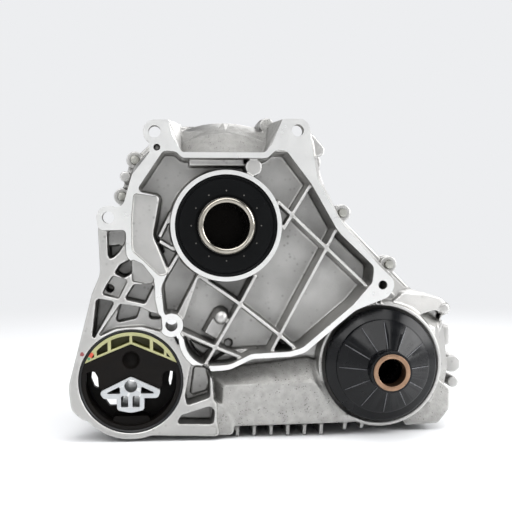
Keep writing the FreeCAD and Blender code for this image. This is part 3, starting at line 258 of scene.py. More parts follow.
def skinned(name: str, rings: list[list[Vector]], looped: bool = False) -> bpy.types.Mesh:
    """Skin rings of points, in millimetres, into a closed solid.

    Args:
        name: The mesh's name.
        rings: Rings with as many points each, in order.
        looped: Whether the last ring joins the first, which leaves no end faces.

    Returns:
        The mesh, in metres.
    """
    shell = bmesh.new()
    rows = [[shell.verts.new(point * MM) for point in ring] for ring in rings]
    count = len(rows[0])
    if not looped:
        shell.faces.new(rows[0])
        shell.faces.new(list(reversed(rows[-1])))
    for row, after in zip(rows, rows[1:] + rows[:1] if looped else rows[1:]):
        for k in range(count):
            j = (k + 1) % count
            shell.faces.new((row[k], after[k], after[j], row[j]))
    bmesh.ops.recalc_face_normals(shell, faces=shell.faces)
    mesh = bpy.data.meshes.new(name)
    shell.to_mesh(mesh)
    shell.free()
    return mesh


def smooth(piece: bpy.types.Object, angle: float) -> None:
    """Shade a piece smooth but for edges sharper than an angle.

    Args:
        piece: The object.
        angle: Degrees between faces above which an edge stays sharp.
    """
    piece.data.shade_smooth()
    piece.data.set_sharp_from_angle(angle=math.radians(angle))


# ---------------------------------------------------------------- finishes
Skin = tuple[bpy.types.NodeSocket, bpy.types.NodeSocket, bpy.types.NodeSocket]


@dataclass(frozen=True)
class Dab:
    """A dab of marking paint, with its place and radius in millimetres."""

    centre: Place
    radius: float
    colour: str

    def over(
        self, tree: bpy.types.NodeTree, place: bpy.types.NodeSocket, under: bpy.types.NodeSocket
    ) -> bpy.types.NodeSocket:
        """Lay the dab over a colour.

        Args:
            tree: The material's node tree.
            place: Object coordinates.
            under: The colour below.

        Returns:
            The colour with the dab on it.
        """
        radius = self.radius * MM
        centre = tuple(c * MM for c in self.centre)
        ragged = put(tree, "ShaderNodeTexNoise", {"Vector": place, "Scale": 0.9 / MM, "Detail": 2.0})
        away = put(tree, "ShaderNodeVectorMath", {0: place, 1: centre}, operation="DISTANCE")
        edge = put(
            tree, "ShaderNodeMath", {0: ragged.outputs["Fac"], 1: radius, 2: away.outputs["Value"]},
            operation="MULTIPLY_ADD",
        )
        share = put(
            tree, "ShaderNodeMapRange",
            {
                "Value": edge.outputs[0], "From Min": radius * 1.35, "From Max": radius * 1.6,
                "To Min": 0.9, "To Max": 0.0,
            },
        )
        laid = put(
            tree, "ShaderNodeMix", {"Factor": share.outputs[0], 6: under, 7: linear(self.colour)},
            data_type="RGBA",
        )
        return laid.outputs[2]


@dataclass(frozen=True)
class Finish:
    """A finish with a body colour, a second colour in soft patches, and a bumped skin.

    Sizes are the real ones, in millimetres.
    """

    name: str
    colour: str
    patch: str
    metallic: float
    roughness: float
    patch_mm: float = 30.0
    grain_mm: float = 1.2
    grain_depth_mm: float = 0.05
    gloss_spread: float = 0.08
    specular: float = 0.5
    dabs: tuple[Dab, ...] = ()

    def tones(
        self, tree: bpy.types.NodeTree, place: bpy.types.NodeSocket
    ) -> tuple[bpy.types.NodeSocket, bpy.types.NodeSocket]:
        """Make the colour and the roughness, which change together in soft patches.

        Args:
            tree: The material's node tree.
            place: Object coordinates.

        Returns:
            Sockets for colour and roughness.
        """
        patches = put(
            tree, "ShaderNodeTexNoise", {"Vector": place, "Scale": 1 / (self.patch_mm * MM), "Detail": 4.0},
        )
        tone = put(
            tree, "ShaderNodeMix",
            {"Factor": patches.outputs["Fac"], 6: linear(self.colour), 7: linear(self.patch)},
            data_type="RGBA",
        )
        low, high = self.roughness - self.gloss_spread, self.roughness + self.gloss_spread
        gloss = put(
            tree, "ShaderNodeMapRange",
            {
                "Value": patches.outputs["Fac"], "From Min": 0.3, "From Max": 0.7, "To Min": low,
                "To Max": high,
            },
        )
        return tone.outputs[2], gloss.outputs[0]

    def skin(self, tree: bpy.types.NodeTree, place: bpy.types.NodeSocket) -> Skin:
        """Make the colour, roughness and normal of the surface.

        Args:
            tree: The material's node tree.
            place: Object coordinates.

        Returns:
            Sockets for colour, roughness and normal.
        """
        colour, roughness = self.tones(tree, place)
        grain = put(
            tree, "ShaderNodeTexNoise", {"Vector": place, "Scale": 1 / (self.grain_mm * MM), "Detail": 3.0},
        )
        bump = put(
            tree, "ShaderNodeBump",
            {"Height": grain.outputs["Fac"], "Distance": self.grain_depth_mm * MM, "Strength": 1.0},
        )
        return colour, roughness, bump.outputs[0]

    def material(self) -> bpy.types.Material:
        """Build the material once and hand it out by name afterwards.

        Returns:
            The material.
        """
        known = bpy.data.materials.get(self.name)
        if known:
            return known
        made = bpy.data.materials.new(self.name)
        made.use_nodes = True
        tree = made.node_tree
        tree.nodes.clear()
        place = put(tree, "ShaderNodeTexCoord").outputs["Object"]
        colour, roughness, normal = self.skin(tree, place)
        for dab in self.dabs:
            colour = dab.over(tree, place, colour)
        shader = put(
            tree, "ShaderNodeBsdfPrincipled",
            {
                "Base Color": colour, "Metallic": self.metallic, "Roughness": roughness, "Normal": normal,
                "Specular IOR Level": self.specular,
            },
        )
        put(tree, "ShaderNodeOutputMaterial", {"Surface": shader.outputs[0]})
        return made


@dataclass(frozen=True)
class CastSkin(Finish):
    """Skin of a die casting: edges polished by handling, painted shade in sheltered corners and recess
    floors, pits and dark specks.
    """

    # Colour of the painted shade laid into corners, rib feet and recess floors, with its reach and share
    # below.
    painted_shade_colour: str = "#4A4A4A"
    edge: str = "#E6E6E4"
    speck: str = "#46443F"
    pit_mm: float = 4.0
    speck_share: float = 0.5
    painted_shade_reach_mm: float = 26.0
    painted_shade_share: float = 0.42

    def skin(self, tree: bpy.types.NodeTree, place: bpy.types.NodeSocket) -> Skin:
        """Add painted shade in sheltered places, worn edges, pits and specks to the plain tones.

        Args:
            tree: The material's node tree.
            place: Object coordinates.

        Returns:
            Sockets for colour, roughness and normal.
        """
        colour, roughness = self.tones(tree, place)
        # Painted shade: ambient occlusion darkens sheltered corners and recess floors toward the shade
        # colour.
        shelter = put(tree, "ShaderNodeAmbientOcclusion", {"Distance": self.painted_shade_reach_mm * MM}, samples=6)
        dark = put(
            tree, "ShaderNodeMapRange",
            {
                "Value": shelter.outputs["AO"], "From Min": 0.1, "From Max": 0.92,
                "To Min": self.painted_shade_share, "To Max": 0.0,
            },
        )
        painted_shade_mixed = put(
            tree, "ShaderNodeMix", {"Factor": dark.outputs[0], 6: colour, 7: linear(self.painted_shade_colour)},
            data_type="RGBA",
        )
        sharp = put(tree, "ShaderNodeNewGeometry").outputs["Pointiness"]
        worn = put(
            tree, "ShaderNodeMapRange",
            {"Value": sharp, "From Min": 0.51, "From Max": 0.57, "To Min": 0.0, "To Max": 0.8},
        )
        bright = put(
            tree, "ShaderNodeMix", {"Factor": worn.outputs[0], 6: painted_shade_mixed.outputs[2], 7: linear(self.edge)},
            data_type="RGBA",
        )
        grain = put(
            tree, "ShaderNodeTexNoise",
            {"Vector": place, "Scale": 1 / (self.grain_mm * MM), "Detail": 4.0, "Roughness": 0.65},
        )
        pits = put(
            tree, "ShaderNodeTexVoronoi",
            {"Vector": place, "Scale": 1 / (self.pit_mm * MM), "Randomness": 1.0},
        )
        hollow = put(
            tree, "ShaderNodeMapRange",
            {
                "Value": pits.outputs["Distance"], "From Min": 0.1, "From Max": 0.3, "To Min": 0.0,
                "To Max": 1.0,
            },
        )
        spread = put(
            tree, "ShaderNodeTexNoise",
            {"Vector": place, "Scale": 1 / (self.pit_mm * 3.0 * MM), "Detail": 2.0},
        )
        where = put(
            tree, "ShaderNodeMapRange",
            {
                "Value": spread.outputs["Fac"], "From Min": 0.46, "From Max": 0.62, "To Min": 0.0,
                "To Max": self.speck_share,
            },
        )
        shade = put(tree, "ShaderNodeMath", {0: 1.0, 1: hollow.outputs[0]}, operation="SUBTRACT")
        fleck = put(tree, "ShaderNodeMath", {0: shade.outputs[0], 1: where.outputs[0]}, operation="MULTIPLY")
        flecked = put(
            tree, "ShaderNodeMix",
            {"Factor": fleck.outputs[0], 6: bright.outputs[2], 7: linear(self.speck)}, data_type="RGBA",
        )
        height = put(
            tree, "ShaderNodeMath", {0: grain.outputs["Fac"], 1: hollow.outputs[0]}, operation="MULTIPLY",
        )
        bump = put(
            tree, "ShaderNodeBump",
            {"Height": height.outputs[0], "Distance": self.grain_depth_mm * MM, "Strength": 1.0},
        )
        return flecked.outputs[2], roughness, bump.outputs[0]


@dataclass(frozen=True)
class CutFace(Finish):
    """A face left by a cutting tool: bright metal with fine rings round an axis along Y.

    The rings lie between the two radii of band_mm. Inside the bore's radius the colour is painted near black,
    as painted shade deep in the bore. A moulded face takes its rings from a cut mould.
    """

    mark_mm: float = 1.6
    mark_depth_mm: float = 0.012
    axis: Point = (0.0, 0.0)
    painted_bore_shade_mm: float = 0.0
    band_mm: tuple[float, float] = (0.0, 1000.0)

    def skin(self, tree: bpy.types.NodeTree, place: bpy.types.NodeSocket) -> Skin:
        """Lay tool marks on the plain tones, and paint shade into the bore.

        Args:
            tree: The material's node tree.
            place: Object coordinates.

        Returns:
            Sockets for colour, roughness and normal.
        """
        colour, roughness = self.tones(tree, place)
        centred = put(
            tree, "ShaderNodeMapping",
            {"Vector": place, "Location": (-self.axis[0] * MM, 0.0, -self.axis[1] * MM)},
        )
        flat = put(
            tree, "ShaderNodeVectorMath", {0: centred.outputs[0], 1: (1.0, 0.0, 1.0)}, operation="MULTIPLY",
        )
        reach = put(tree, "ShaderNodeVectorMath", {0: flat.outputs[0]}, operation="LENGTH").outputs["Value"]
        marks = put(
            tree, "ShaderNodeTexWave",
            {
                "Vector": centred.outputs[0], "Scale": WAVE_STEP / (self.mark_mm * MM), "Distortion": 0.6,
                "Detail": 2.0,
            },
            wave_type="RINGS", rings_direction="Y",
        )
        outside = put(tree, "ShaderNodeMath", {0: reach, 1: self.band_mm[0] * MM}, operation="GREATER_THAN")
        within = put(tree, "ShaderNodeMath", {0: reach, 1: self.band_mm[1] * MM}, operation="LESS_THAN")
        band = put(
            tree, "ShaderNodeMath", {0: outside.outputs[0], 1: within.outputs[0]}, operation="MULTIPLY",
        )
        height = put(
            tree, "ShaderNodeMath", {0: marks.outputs["Fac"], 1: band.outputs[0]}, operation="MULTIPLY",
        )
        bump = put(
            tree, "ShaderNodeBump",
            {"Height": height.outputs[0], "Distance": self.mark_depth_mm * MM, "Strength": 1.0},
        )
        # Painted shade: inside the bore's radius the colour is mixed toward near black.
        if self.painted_bore_shade_mm:
            inside = put(
                tree, "ShaderNodeMapRange",
                {
                    "Value": reach, "From Min": self.painted_bore_shade_mm * MM,
                    "From Max": (self.painted_bore_shade_mm + 0.5) * MM, "To Min": 1.0, "To Max": 0.0,
                },
            )
            colour = put(
                tree, "ShaderNodeMix", {"Factor": inside.outputs[0], 6: colour, 7: linear("#100F0E")},
                data_type="RGBA",
            ).outputs[2]
        return colour, roughness, bump.outputs[0]


@dataclass(frozen=True)
class CelledNylon(Finish):
    """Natural nylon whose cells look darker toward their floor, because less light reaches through."""

    deep: str = "#5C5A26"
    rim_y_mm: float = 4.6
    floor_y_mm: float = 9.0

    def skin(self, tree: bpy.types.NodeTree, place: bpy.types.NodeSocket) -> Skin:
        """Darken the plain skin with depth.

        Args:
            tree: The material's node tree.
            place: Object coordinates.

        Returns:
            Sockets for colour, roughness and normal.
        """
        colour, roughness, normal = Finish.skin(self, tree, place)
        depth = put(tree, "ShaderNodeSeparateXYZ", {0: place}).outputs["Y"]
        share = put(
            tree, "ShaderNodeMapRange",
            {
                "Value": depth, "From Min": self.rim_y_mm * MM, "From Max": self.floor_y_mm * MM,
                "To Min": 0.0, "To Max": 0.95,
            },
        )
        deepened = put(
            tree, "ShaderNodeMix", {"Factor": share.outputs[0], 6: colour, 7: linear(self.deep)},
            data_type="RGBA",
        )
        return deepened.outputs[2], roughness, normal


# Die-cast aluminium comes from the mould pale, dull and a little mottled, with a skin that
# scatters light; handling polishes its edges. A maker's paint dot sits beside the mount eye.
CAST = CastSkin(
    "die_cast_aluminium", "#C6C5C2", "#A9A8A6", 1.0, 0.45, patch_mm=26.0, grain_mm=1.9, grain_depth_mm=0.10,
    pit_mm=6.0, speck_share=0.35, dabs=(Dab((-132.7, 3.0, -117.8), 2.0, "#93484A"),),
)
# Sand-blasted aluminium: coarser tooth with open pores, so it sparkles and reads flatter.
SANDED = CastSkin(
    "blasted_cast_aluminium", "#C2C1BE", "#9D9C99", 1.0, 0.56, patch_mm=7.0, grain_mm=2.2, grain_depth_mm=0.5,
    pit_mm=2.4, speck_share=0.85, painted_shade_share=0.5,
)
# A milled joint face is brighter than the skin round it and keeps faint arcs from the cutter.
MILLED = CutFace("milled_aluminium", "#F0F0EE", "#DCDCDA", 1.0, 0.34, patch_mm=14.0, axis=(-180.0, 260.0))
# Turned steel shows fine bright rings.
TURNED = CutFace("turned_steel", "#B9B6B0", "#8F8B84", 1.0, 0.26, patch_mm=14.0, mark_mm=0.9)
# Turned and hardened sleeve: bright outside, with painted shade dark down its splined bore.
SLEEVE = CutFace(
    "turned_hardened_sleeve", "#9A968F", "#6B665F", 1.0, 0.24, patch_mm=9.0, mark_mm=0.9, painted_bore_shade_mm=20.9,
)
# The sleeve's rolled lip, polished where a seal and a shaft have slid over it.
SLEEVE_LIP = Finish(
    "polished_sleeve_lip", "#B9B5AC", "#8D877C", 1.0, 0.17, patch_mm=7.0, grain_mm=1.0, grain_depth_mm=0.01,
)
# The output's sleeve is turned too, with the same painted shade down its bore.
OUTPUT_SLEEVE = CutFace(
    "splined_output_sleeve", "#8F8B84", "#6D6963", 1.0, 0.3, patch_mm=9.0, mark_mm=0.9,
    axis=OUTPUT, painted_bore_shade_mm=14.0,
)
# Ground bearing steel: close to a mirror.
GROUND = CutFace("ground_bearing_steel", "#C6C7C8", "#B4B5B7", 1.0, 0.2, patch_mm=20.0, mark_mm=1.2)
# Zinc plate on bolts: pale with a faint yellow cast.
PLATED = Finish(
    "zinc_plated_steel", "#C4C4BE", "#9B9A93", 1.0, 0.33, patch_mm=5.0, grain_mm=1.0, grain_depth_mm=0.03,
)
# Steel that runs in oil looks brown-black and wet.
DARK_STEEL = Finish(
    "oiled_dark_steel", "#4B4A48", "#33312F", 1.0, 0.36, patch_mm=12.0, grain_mm=1.0, grain_depth_mm=0.04,
)
# Sintered bronze: tan, matte, with fine pores.
BRONZE = Finish(
    "sintered_bronze", "#AE9078", "#7E6350", 1.0, 0.4, patch_mm=5.0, grain_mm=0.7, grain_depth_mm=0.05,
)
# Soft copper, dulled brown in patches.
COPPER = Finish(
    "copper_washer", "#B8714A", "#9A5A38", 1.0, 0.34, patch_mm=6.0, grain_mm=0.8, grain_depth_mm=0.03,
)
# Moulded rubber is black and dull, with a soft sheen where it curves.
RUBBER = Finish(
    "moulded_black_rubber", "#0B0B0C", "#15110D", 0.0, 0.5, patch_mm=18.0, grain_mm=1.4,
    grain_depth_mm=0.06, specular=0.12,
)
# The seal's rubber face is smooth, with fine moulded rings near its edge.
SEAL_RUBBER = CutFace(
    "seal_rubber_on_steel", "#060708", "#0A0B0C", 0.0, 0.34, patch_mm=22.0, mark_mm=1.3, mark_depth_mm=0.25,
    band_mm=(43.2, 47.0), specular=0.1,
)
# The nubs' rough tops look greyer than the seal round them.
SEAL_NUB = Finish(
    "moulded_rubber_nubs", "#5A5854", "#3F3D3A", 0.0, 0.45, patch_mm=3.0, grain_mm=0.8, grain_depth_mm=0.02,
)
# A glossy moulded polymer cap: deep black with clean highlights.
GLOSS_BLACK = Finish(
    "moulded_gloss_polymer", "#060709", "#0A0B0E", 0.0, 0.24, patch_mm=26.0, grain_mm=2.0,
    grain_depth_mm=0.015, specular=0.26,
)
# The cap's rounded ribs are coloured grey: a painted highlight along each rib's crown.
RIB_PAINTED_HIGHLIGHT = Finish(
    "painted_highlight_polymer_rib", "#5B5C60", "#3C3D40", 0.0, 0.3, patch_mm=8.0, grain_mm=1.0,
    grain_depth_mm=0.01,
)
# Black cathodic paint over pressed steel: satin.
PAINTED = Finish(
    "black_dip_paint", "#0F1012", "#17181A", 0.0, 0.34, patch_mm=15.0, grain_mm=1.6, grain_depth_mm=0.03,
    specular=0.4,
)
# Glass-filled nylon, moulded black: matte, with a fine grain.
MOTOR_PLASTIC = Finish(
    "glass_filled_nylon_black", "#1B1C1E", "#252628", 0.0, 0.48, patch_mm=10.0, grain_mm=1.0,
    grain_depth_mm=0.05,
)
# Glass-filled nylon left natural: a yellow-green ivory that has aged, with paint dots at one end.
INSERT = CelledNylon(
    "natural_glass_filled_nylon", "#B4B388", "#98986A", 0.0, 0.46, patch_mm=12.0, grain_mm=1.6,
    grain_depth_mm=0.06,
    dabs=(Dab((-124.7, 4.5, -118.8), 2.6, "#C8402C"), Dab((-126.6, 4.5, -122.0), 1.5, "#2C7A58")),
)
# The core is cast finer and cooler in colour than the housing.
CORE = CastSkin(
    "core_cast_aluminium", "#C4C8CB", "#A9ADB0", 1.0, 0.48, patch_mm=12.0, grain_mm=1.6, grain_depth_mm=0.1,
    painted_shade_share=0.45, speck_share=0.2,
)
# A rubber coating leaves the steel gasket dark grey and matte.
GASKET = Finish(
    "coated_steel_gasket", "#3A3C3E", "#2B2C2E", 0.3, 0.5, patch_mm=12.0, grain_mm=1.0, grain_depth_mm=0.02,
)
# Paper lining soaked in oil: brown and quite dull.
FRICTION = Finish(
    "friction_paper", "#3B3026", "#2B231C", 0.0, 0.8, patch_mm=6.0, grain_mm=1.0, grain_depth_mm=0.08,
)


# ---------------------------------------------------------------- forms added to or cut from a piece
def rounded(corners: list[Corner], arc: int = 5) -> list[Point]:
    """Trace an outline whose corners are rounded.

    Args:
        corners: Corners as x, z and radius, in millimetres.
        arc: Steps along each rounded corner.

    Returns:
        Points along the outline.
    """
    points = []
    for k, (x, z, radius) in enumerate(corners):
        here = Vector((x, z))
        back = (Vector(corners[k - 1][:2]) - here).normalized()
        ahead = (Vector(corners[(k + 1) % len(corners)][:2]) - here).normalized()
        half = back.angle(ahead) / 2
        if radius <= 0 or half > math.pi / 2 - STRAIGHT:
            points.append((x, z))
            continue
        centre = here + (back + ahead).normalized() * radius / math.sin(half)
        first = here + back * radius / math.tan(half) - centre
        last = here + ahead * radius / math.tan(half) - centre
        for step in range(arc + 1):
            spoke = centre + first.lerp(last, step / arc).normalized() * radius
            points.append((spoke.x, spoke.y))
    return points


class Work(Enum):
    """What a form does to the piece it is worked into."""

    ADD = "UNION"
    CUT = "DIFFERENCE"
    KEEP = "INTERSECT"


@dataclass
class Form:
    """A solid along Y between a front outline and a back one, in millimetres.

    The front face rises by tilt for each millimetre along X, from its first corner on.
    """

    front: list[Corner]
    y0: float
    y1: float
    back: list[Corner] | None = None
    tilt: float = 0.0

    def solid(self) -> bpy.types.Object:
        """Skin the front outline to the back one.

        Returns:
            The solid, as an object of its own.
        """
        start = self.front[0][0]
        first = [Vector((x, self.y0 + self.tilt * (x - start), z)) for x, z in rounded(self.front)]
        last = [Vector((x, self.y1, z)) for x, z in rounded(self.back or self.front)]
        return new_piece("form", skinned("form", [first, last]))


@dataclass
class Round:
    """A round bar or cone along Y, in millimetres, kept only inside another form where one is given."""

    centre: Point
    r0: float
    r1: float
    y0: float
    y1: float
    within: Form | None = None
    sides: int = 96

    def solid(self) -> bpy.types.Object:
        """Skin the front circle to the back one.

        Returns:
            The solid, as an object of its own.
        """
        turns = [math.tau * k / self.sides for k in range(self.sides)]
        rings = [
            [Vector((self.centre[0] + r * math.cos(a), y, self.centre[1] + r * math.sin(a))) for a in turns]
            for r, y in ((self.r0, self.y0), (self.r1, self.y1))
        ]
        made = new_piece("round", skinned("round", rings))
        if self.within:
            combine(made, [self.within], Work.KEEP)
        return made


Shape = Form | Round


def combine(piece: bpy.types.Object, forms: list[Shape], work: Work) -> None:
    """Add forms to a piece, cut them from it or keep what they share.

    Args:
        piece: The piece, a closed solid.
        forms: The forms, worked in one after the other.
        work: What they do to the piece.
    """
    for form in forms:
        tool = form.solid()
        change = piece.modifiers.new("work", "BOOLEAN")
        change.operation = work.value
        change.solver = "MANIFOLD"
        change.object = tool
        applied(piece)
        bpy.data.objects.remove(tool)


# ---------------------------------------------------------------- castings
class Coat(IntEnum):
    """Which of a casting's material slots a face takes."""

    SKIN = 0
    MACHINED = 1
    BLASTED = 2


@dataclass
class CutZone:
    """Where a casting has been machined, in millimetres.

    A flat zone is a plane across Y within radius of a centre; a bore is the wall of that radius.
    Level and upright are how much of a face's normal may lie along Y.
    """

    y0: float
    y1: float
    centre: Point = (0.0, 0.0)
    radius: float = 1000.0
    bore: bool = False
    level: float = 0.93
    upright: float = 0.5
    wall_mm: float = 0.8

    def picks(self, middles: np.ndarray, normals: np.ndarray) -> np.ndarray:
        """Choose the faces of the zone.

        Args:
            middles: Face centres in millimetres, one row each.
            normals: Face normals, one row each.

        Returns:
            A true or false for each face.
        """
        away = middles[:, [0, 2]] - np.array(self.centre)
        reach = np.hypot(away[:, 0], away[:, 1])
        within = (middles[:, 1] > self.y0) & (middles[:, 1] < self.y1)
        facing = np.abs(normals[:, 1])
        if self.bore:
            return within & (np.abs(reach - self.radius) < self.wall_mm) & (facing < self.upright)
        return within & (reach < self.radius) & (facing > self.level)


@dataclass
class CutPlane:
    """A machined plane across Y, in millimetres, within radius of a centre.

    The casting stands proud of it while its edges are rounded and is then cut back to it, which
    leaves the flat face and the crisp edge that a cutter leaves.
    """

    y: float
    centre: Point = (0.0, 0.0)
    radius: float = 1000.0
    slack_mm: float = 0.02

    def near(self, places: np.ndarray) -> np.ndarray:
        """Choose the points within the plane's radius, given places in millimetres."""
        return np.hypot(places[:, 0] - self.centre[0], places[:, 2] - self.centre[1]) < self.radius

    def stand_proud(self, places: np.ndarray, reach: float) -> None:
        """Move the plane's own points forward by reach, in place."""
        places[self.near(places) & (np.abs(places[:, 1] - self.y) < self.slack_mm), 1] -= reach

    def cut_back(self, places: np.ndarray) -> None:
        """Bring every point in front of the plane back to it, in place."""
        ahead = self.near(places) & (places[:, 1] < self.y)
        places[ahead, 1] = self.y


@dataclass
class SandZone:
    """A box of a casting, in millimetres, whose skin has the coarse blasted tooth."""

    low: Place
    high: Place

    def picks(self, middles: np.ndarray) -> np.ndarray:
        """Choose the faces inside the box, given face centres in millimetres."""
        return np.all((middles > np.array(self.low)) & (middles < np.array(self.high)), axis=1)


@dataclass
class Casting:
    """An aluminium housing, copied from its CAD node with the soft edges of a die casting."""

    node: str
    body: str
    voxel_mm: float = 0.95
    quick_voxel_mm: float = 1.6
    rounds: int = 3
    reach_mm: float = 1.6
    triangles: int = 195_000
    quick_triangles: int = 120_000
    planes: list[CutPlane] = field(default_factory=list)
    cuts: list[CutZone] = field(default_factory=list)
    sands: list[SandZone] = field(default_factory=list)

    def build(self, nodes: dict[str, bpy.types.Object]) -> bpy.types.Object:
        """Mould the casting again with rounded edges and fillets.

        Args:
            nodes: The CAD nodes by name.

        Returns:
            The casting, dressed and riding on its body.
        """
        piece = merged_copy(f"{self.node}_casting", nodes[self.node])
        self.shape(piece)
        places = vertex_places(piece.data)
        for plane in self.planes:
            plane.stand_proud(places, self.reach_mm)
        place_vertices(piece.data, places)
        self.mould(piece)
        places = vertex_places(piece.data)
        for plane in self.planes:
            plane.cut_back(places)
        place_vertices(piece.data, places)
        piece.data.shade_smooth()
        self.dress(piece)
        self.crease(piece)
        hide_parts(self.node)
        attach(piece, self.body)
        log.info("%s: %d faces", piece.name, len(piece.data.polygons))
        return piece

    def mould(self, piece: bpy.types.Object) -> None:
        """Round the casting's edges and fill its corners, within its budget of triangles.

        Args:
            piece: The casting's sharp solid.
        """
        voxels = piece.modifiers.new("mould", "REMESH")
        voxels.mode = "VOXEL"
        voxels.voxel_size = self.voxel_mm * MM
        voxels.adaptivity = 0.0
        soften = piece.modifiers.new("fillets", "SMOOTH")
        soften.factor = 0.5
        soften.iterations = self.rounds
        applied(piece)
        faces = len(piece.data.polygons) * 2
        budget = self.triangles
        if faces > budget:
            thin = piece.modifiers.new("thinned", "DECIMATE")
            thin.ratio = budget / faces
            applied(piece)

    def shape(self, piece: bpy.types.Object) -> None:
        """Add the casting's finer forms; a plain casting has none."""

    def crease(self, piece: bpy.types.Object) -> None:
        """Keep the rim of each machined face sharp.

        Args:
            piece: The casting, dressed.
        """
        shell = bmesh.new()
        shell.from_mesh(piece.data)
        for edge in shell.edges:
            sides = edge.link_faces
            machined = [side.material_index == Coat.MACHINED for side in sides]
            if len(machined) == 2 and machined[0] != machined[1]:
                edge.smooth = False
        shell.to_mesh(piece.data)
        shell.free()

    def dress(self, piece: bpy.types.Object) -> None:
        """Give the skin, the machined faces and the blasted boxes their materials.

        Args:
            piece: The casting.
        """
        piece.data.materials.clear()
        finishes = {Coat.SKIN: CAST, Coat.MACHINED: MILLED, Coat.BLASTED: SANDED}
        for coat in Coat:
            piece.data.materials.append(finishes[coat].material())
        count = len(piece.data.polygons)
        middles = np.empty(count * 3)
        normals = np.empty(count * 3)
        piece.data.polygons.foreach_get("center", middles)
        piece.data.polygons.foreach_get("normal", normals)
        middles = middles.reshape(-1, 3) / MM
        normals = normals.reshape(-1, 3)
        choice = np.full(count, Coat.SKIN, int)
        for zone in self.sands:
            choice[zone.picks(middles)] = Coat.BLASTED
        for zone in self.cuts:
            choice[zone.picks(middles, normals)] = Coat.MACHINED
        piece.data.polygons.foreach_set("material_index", choice)
        piece.data.update()


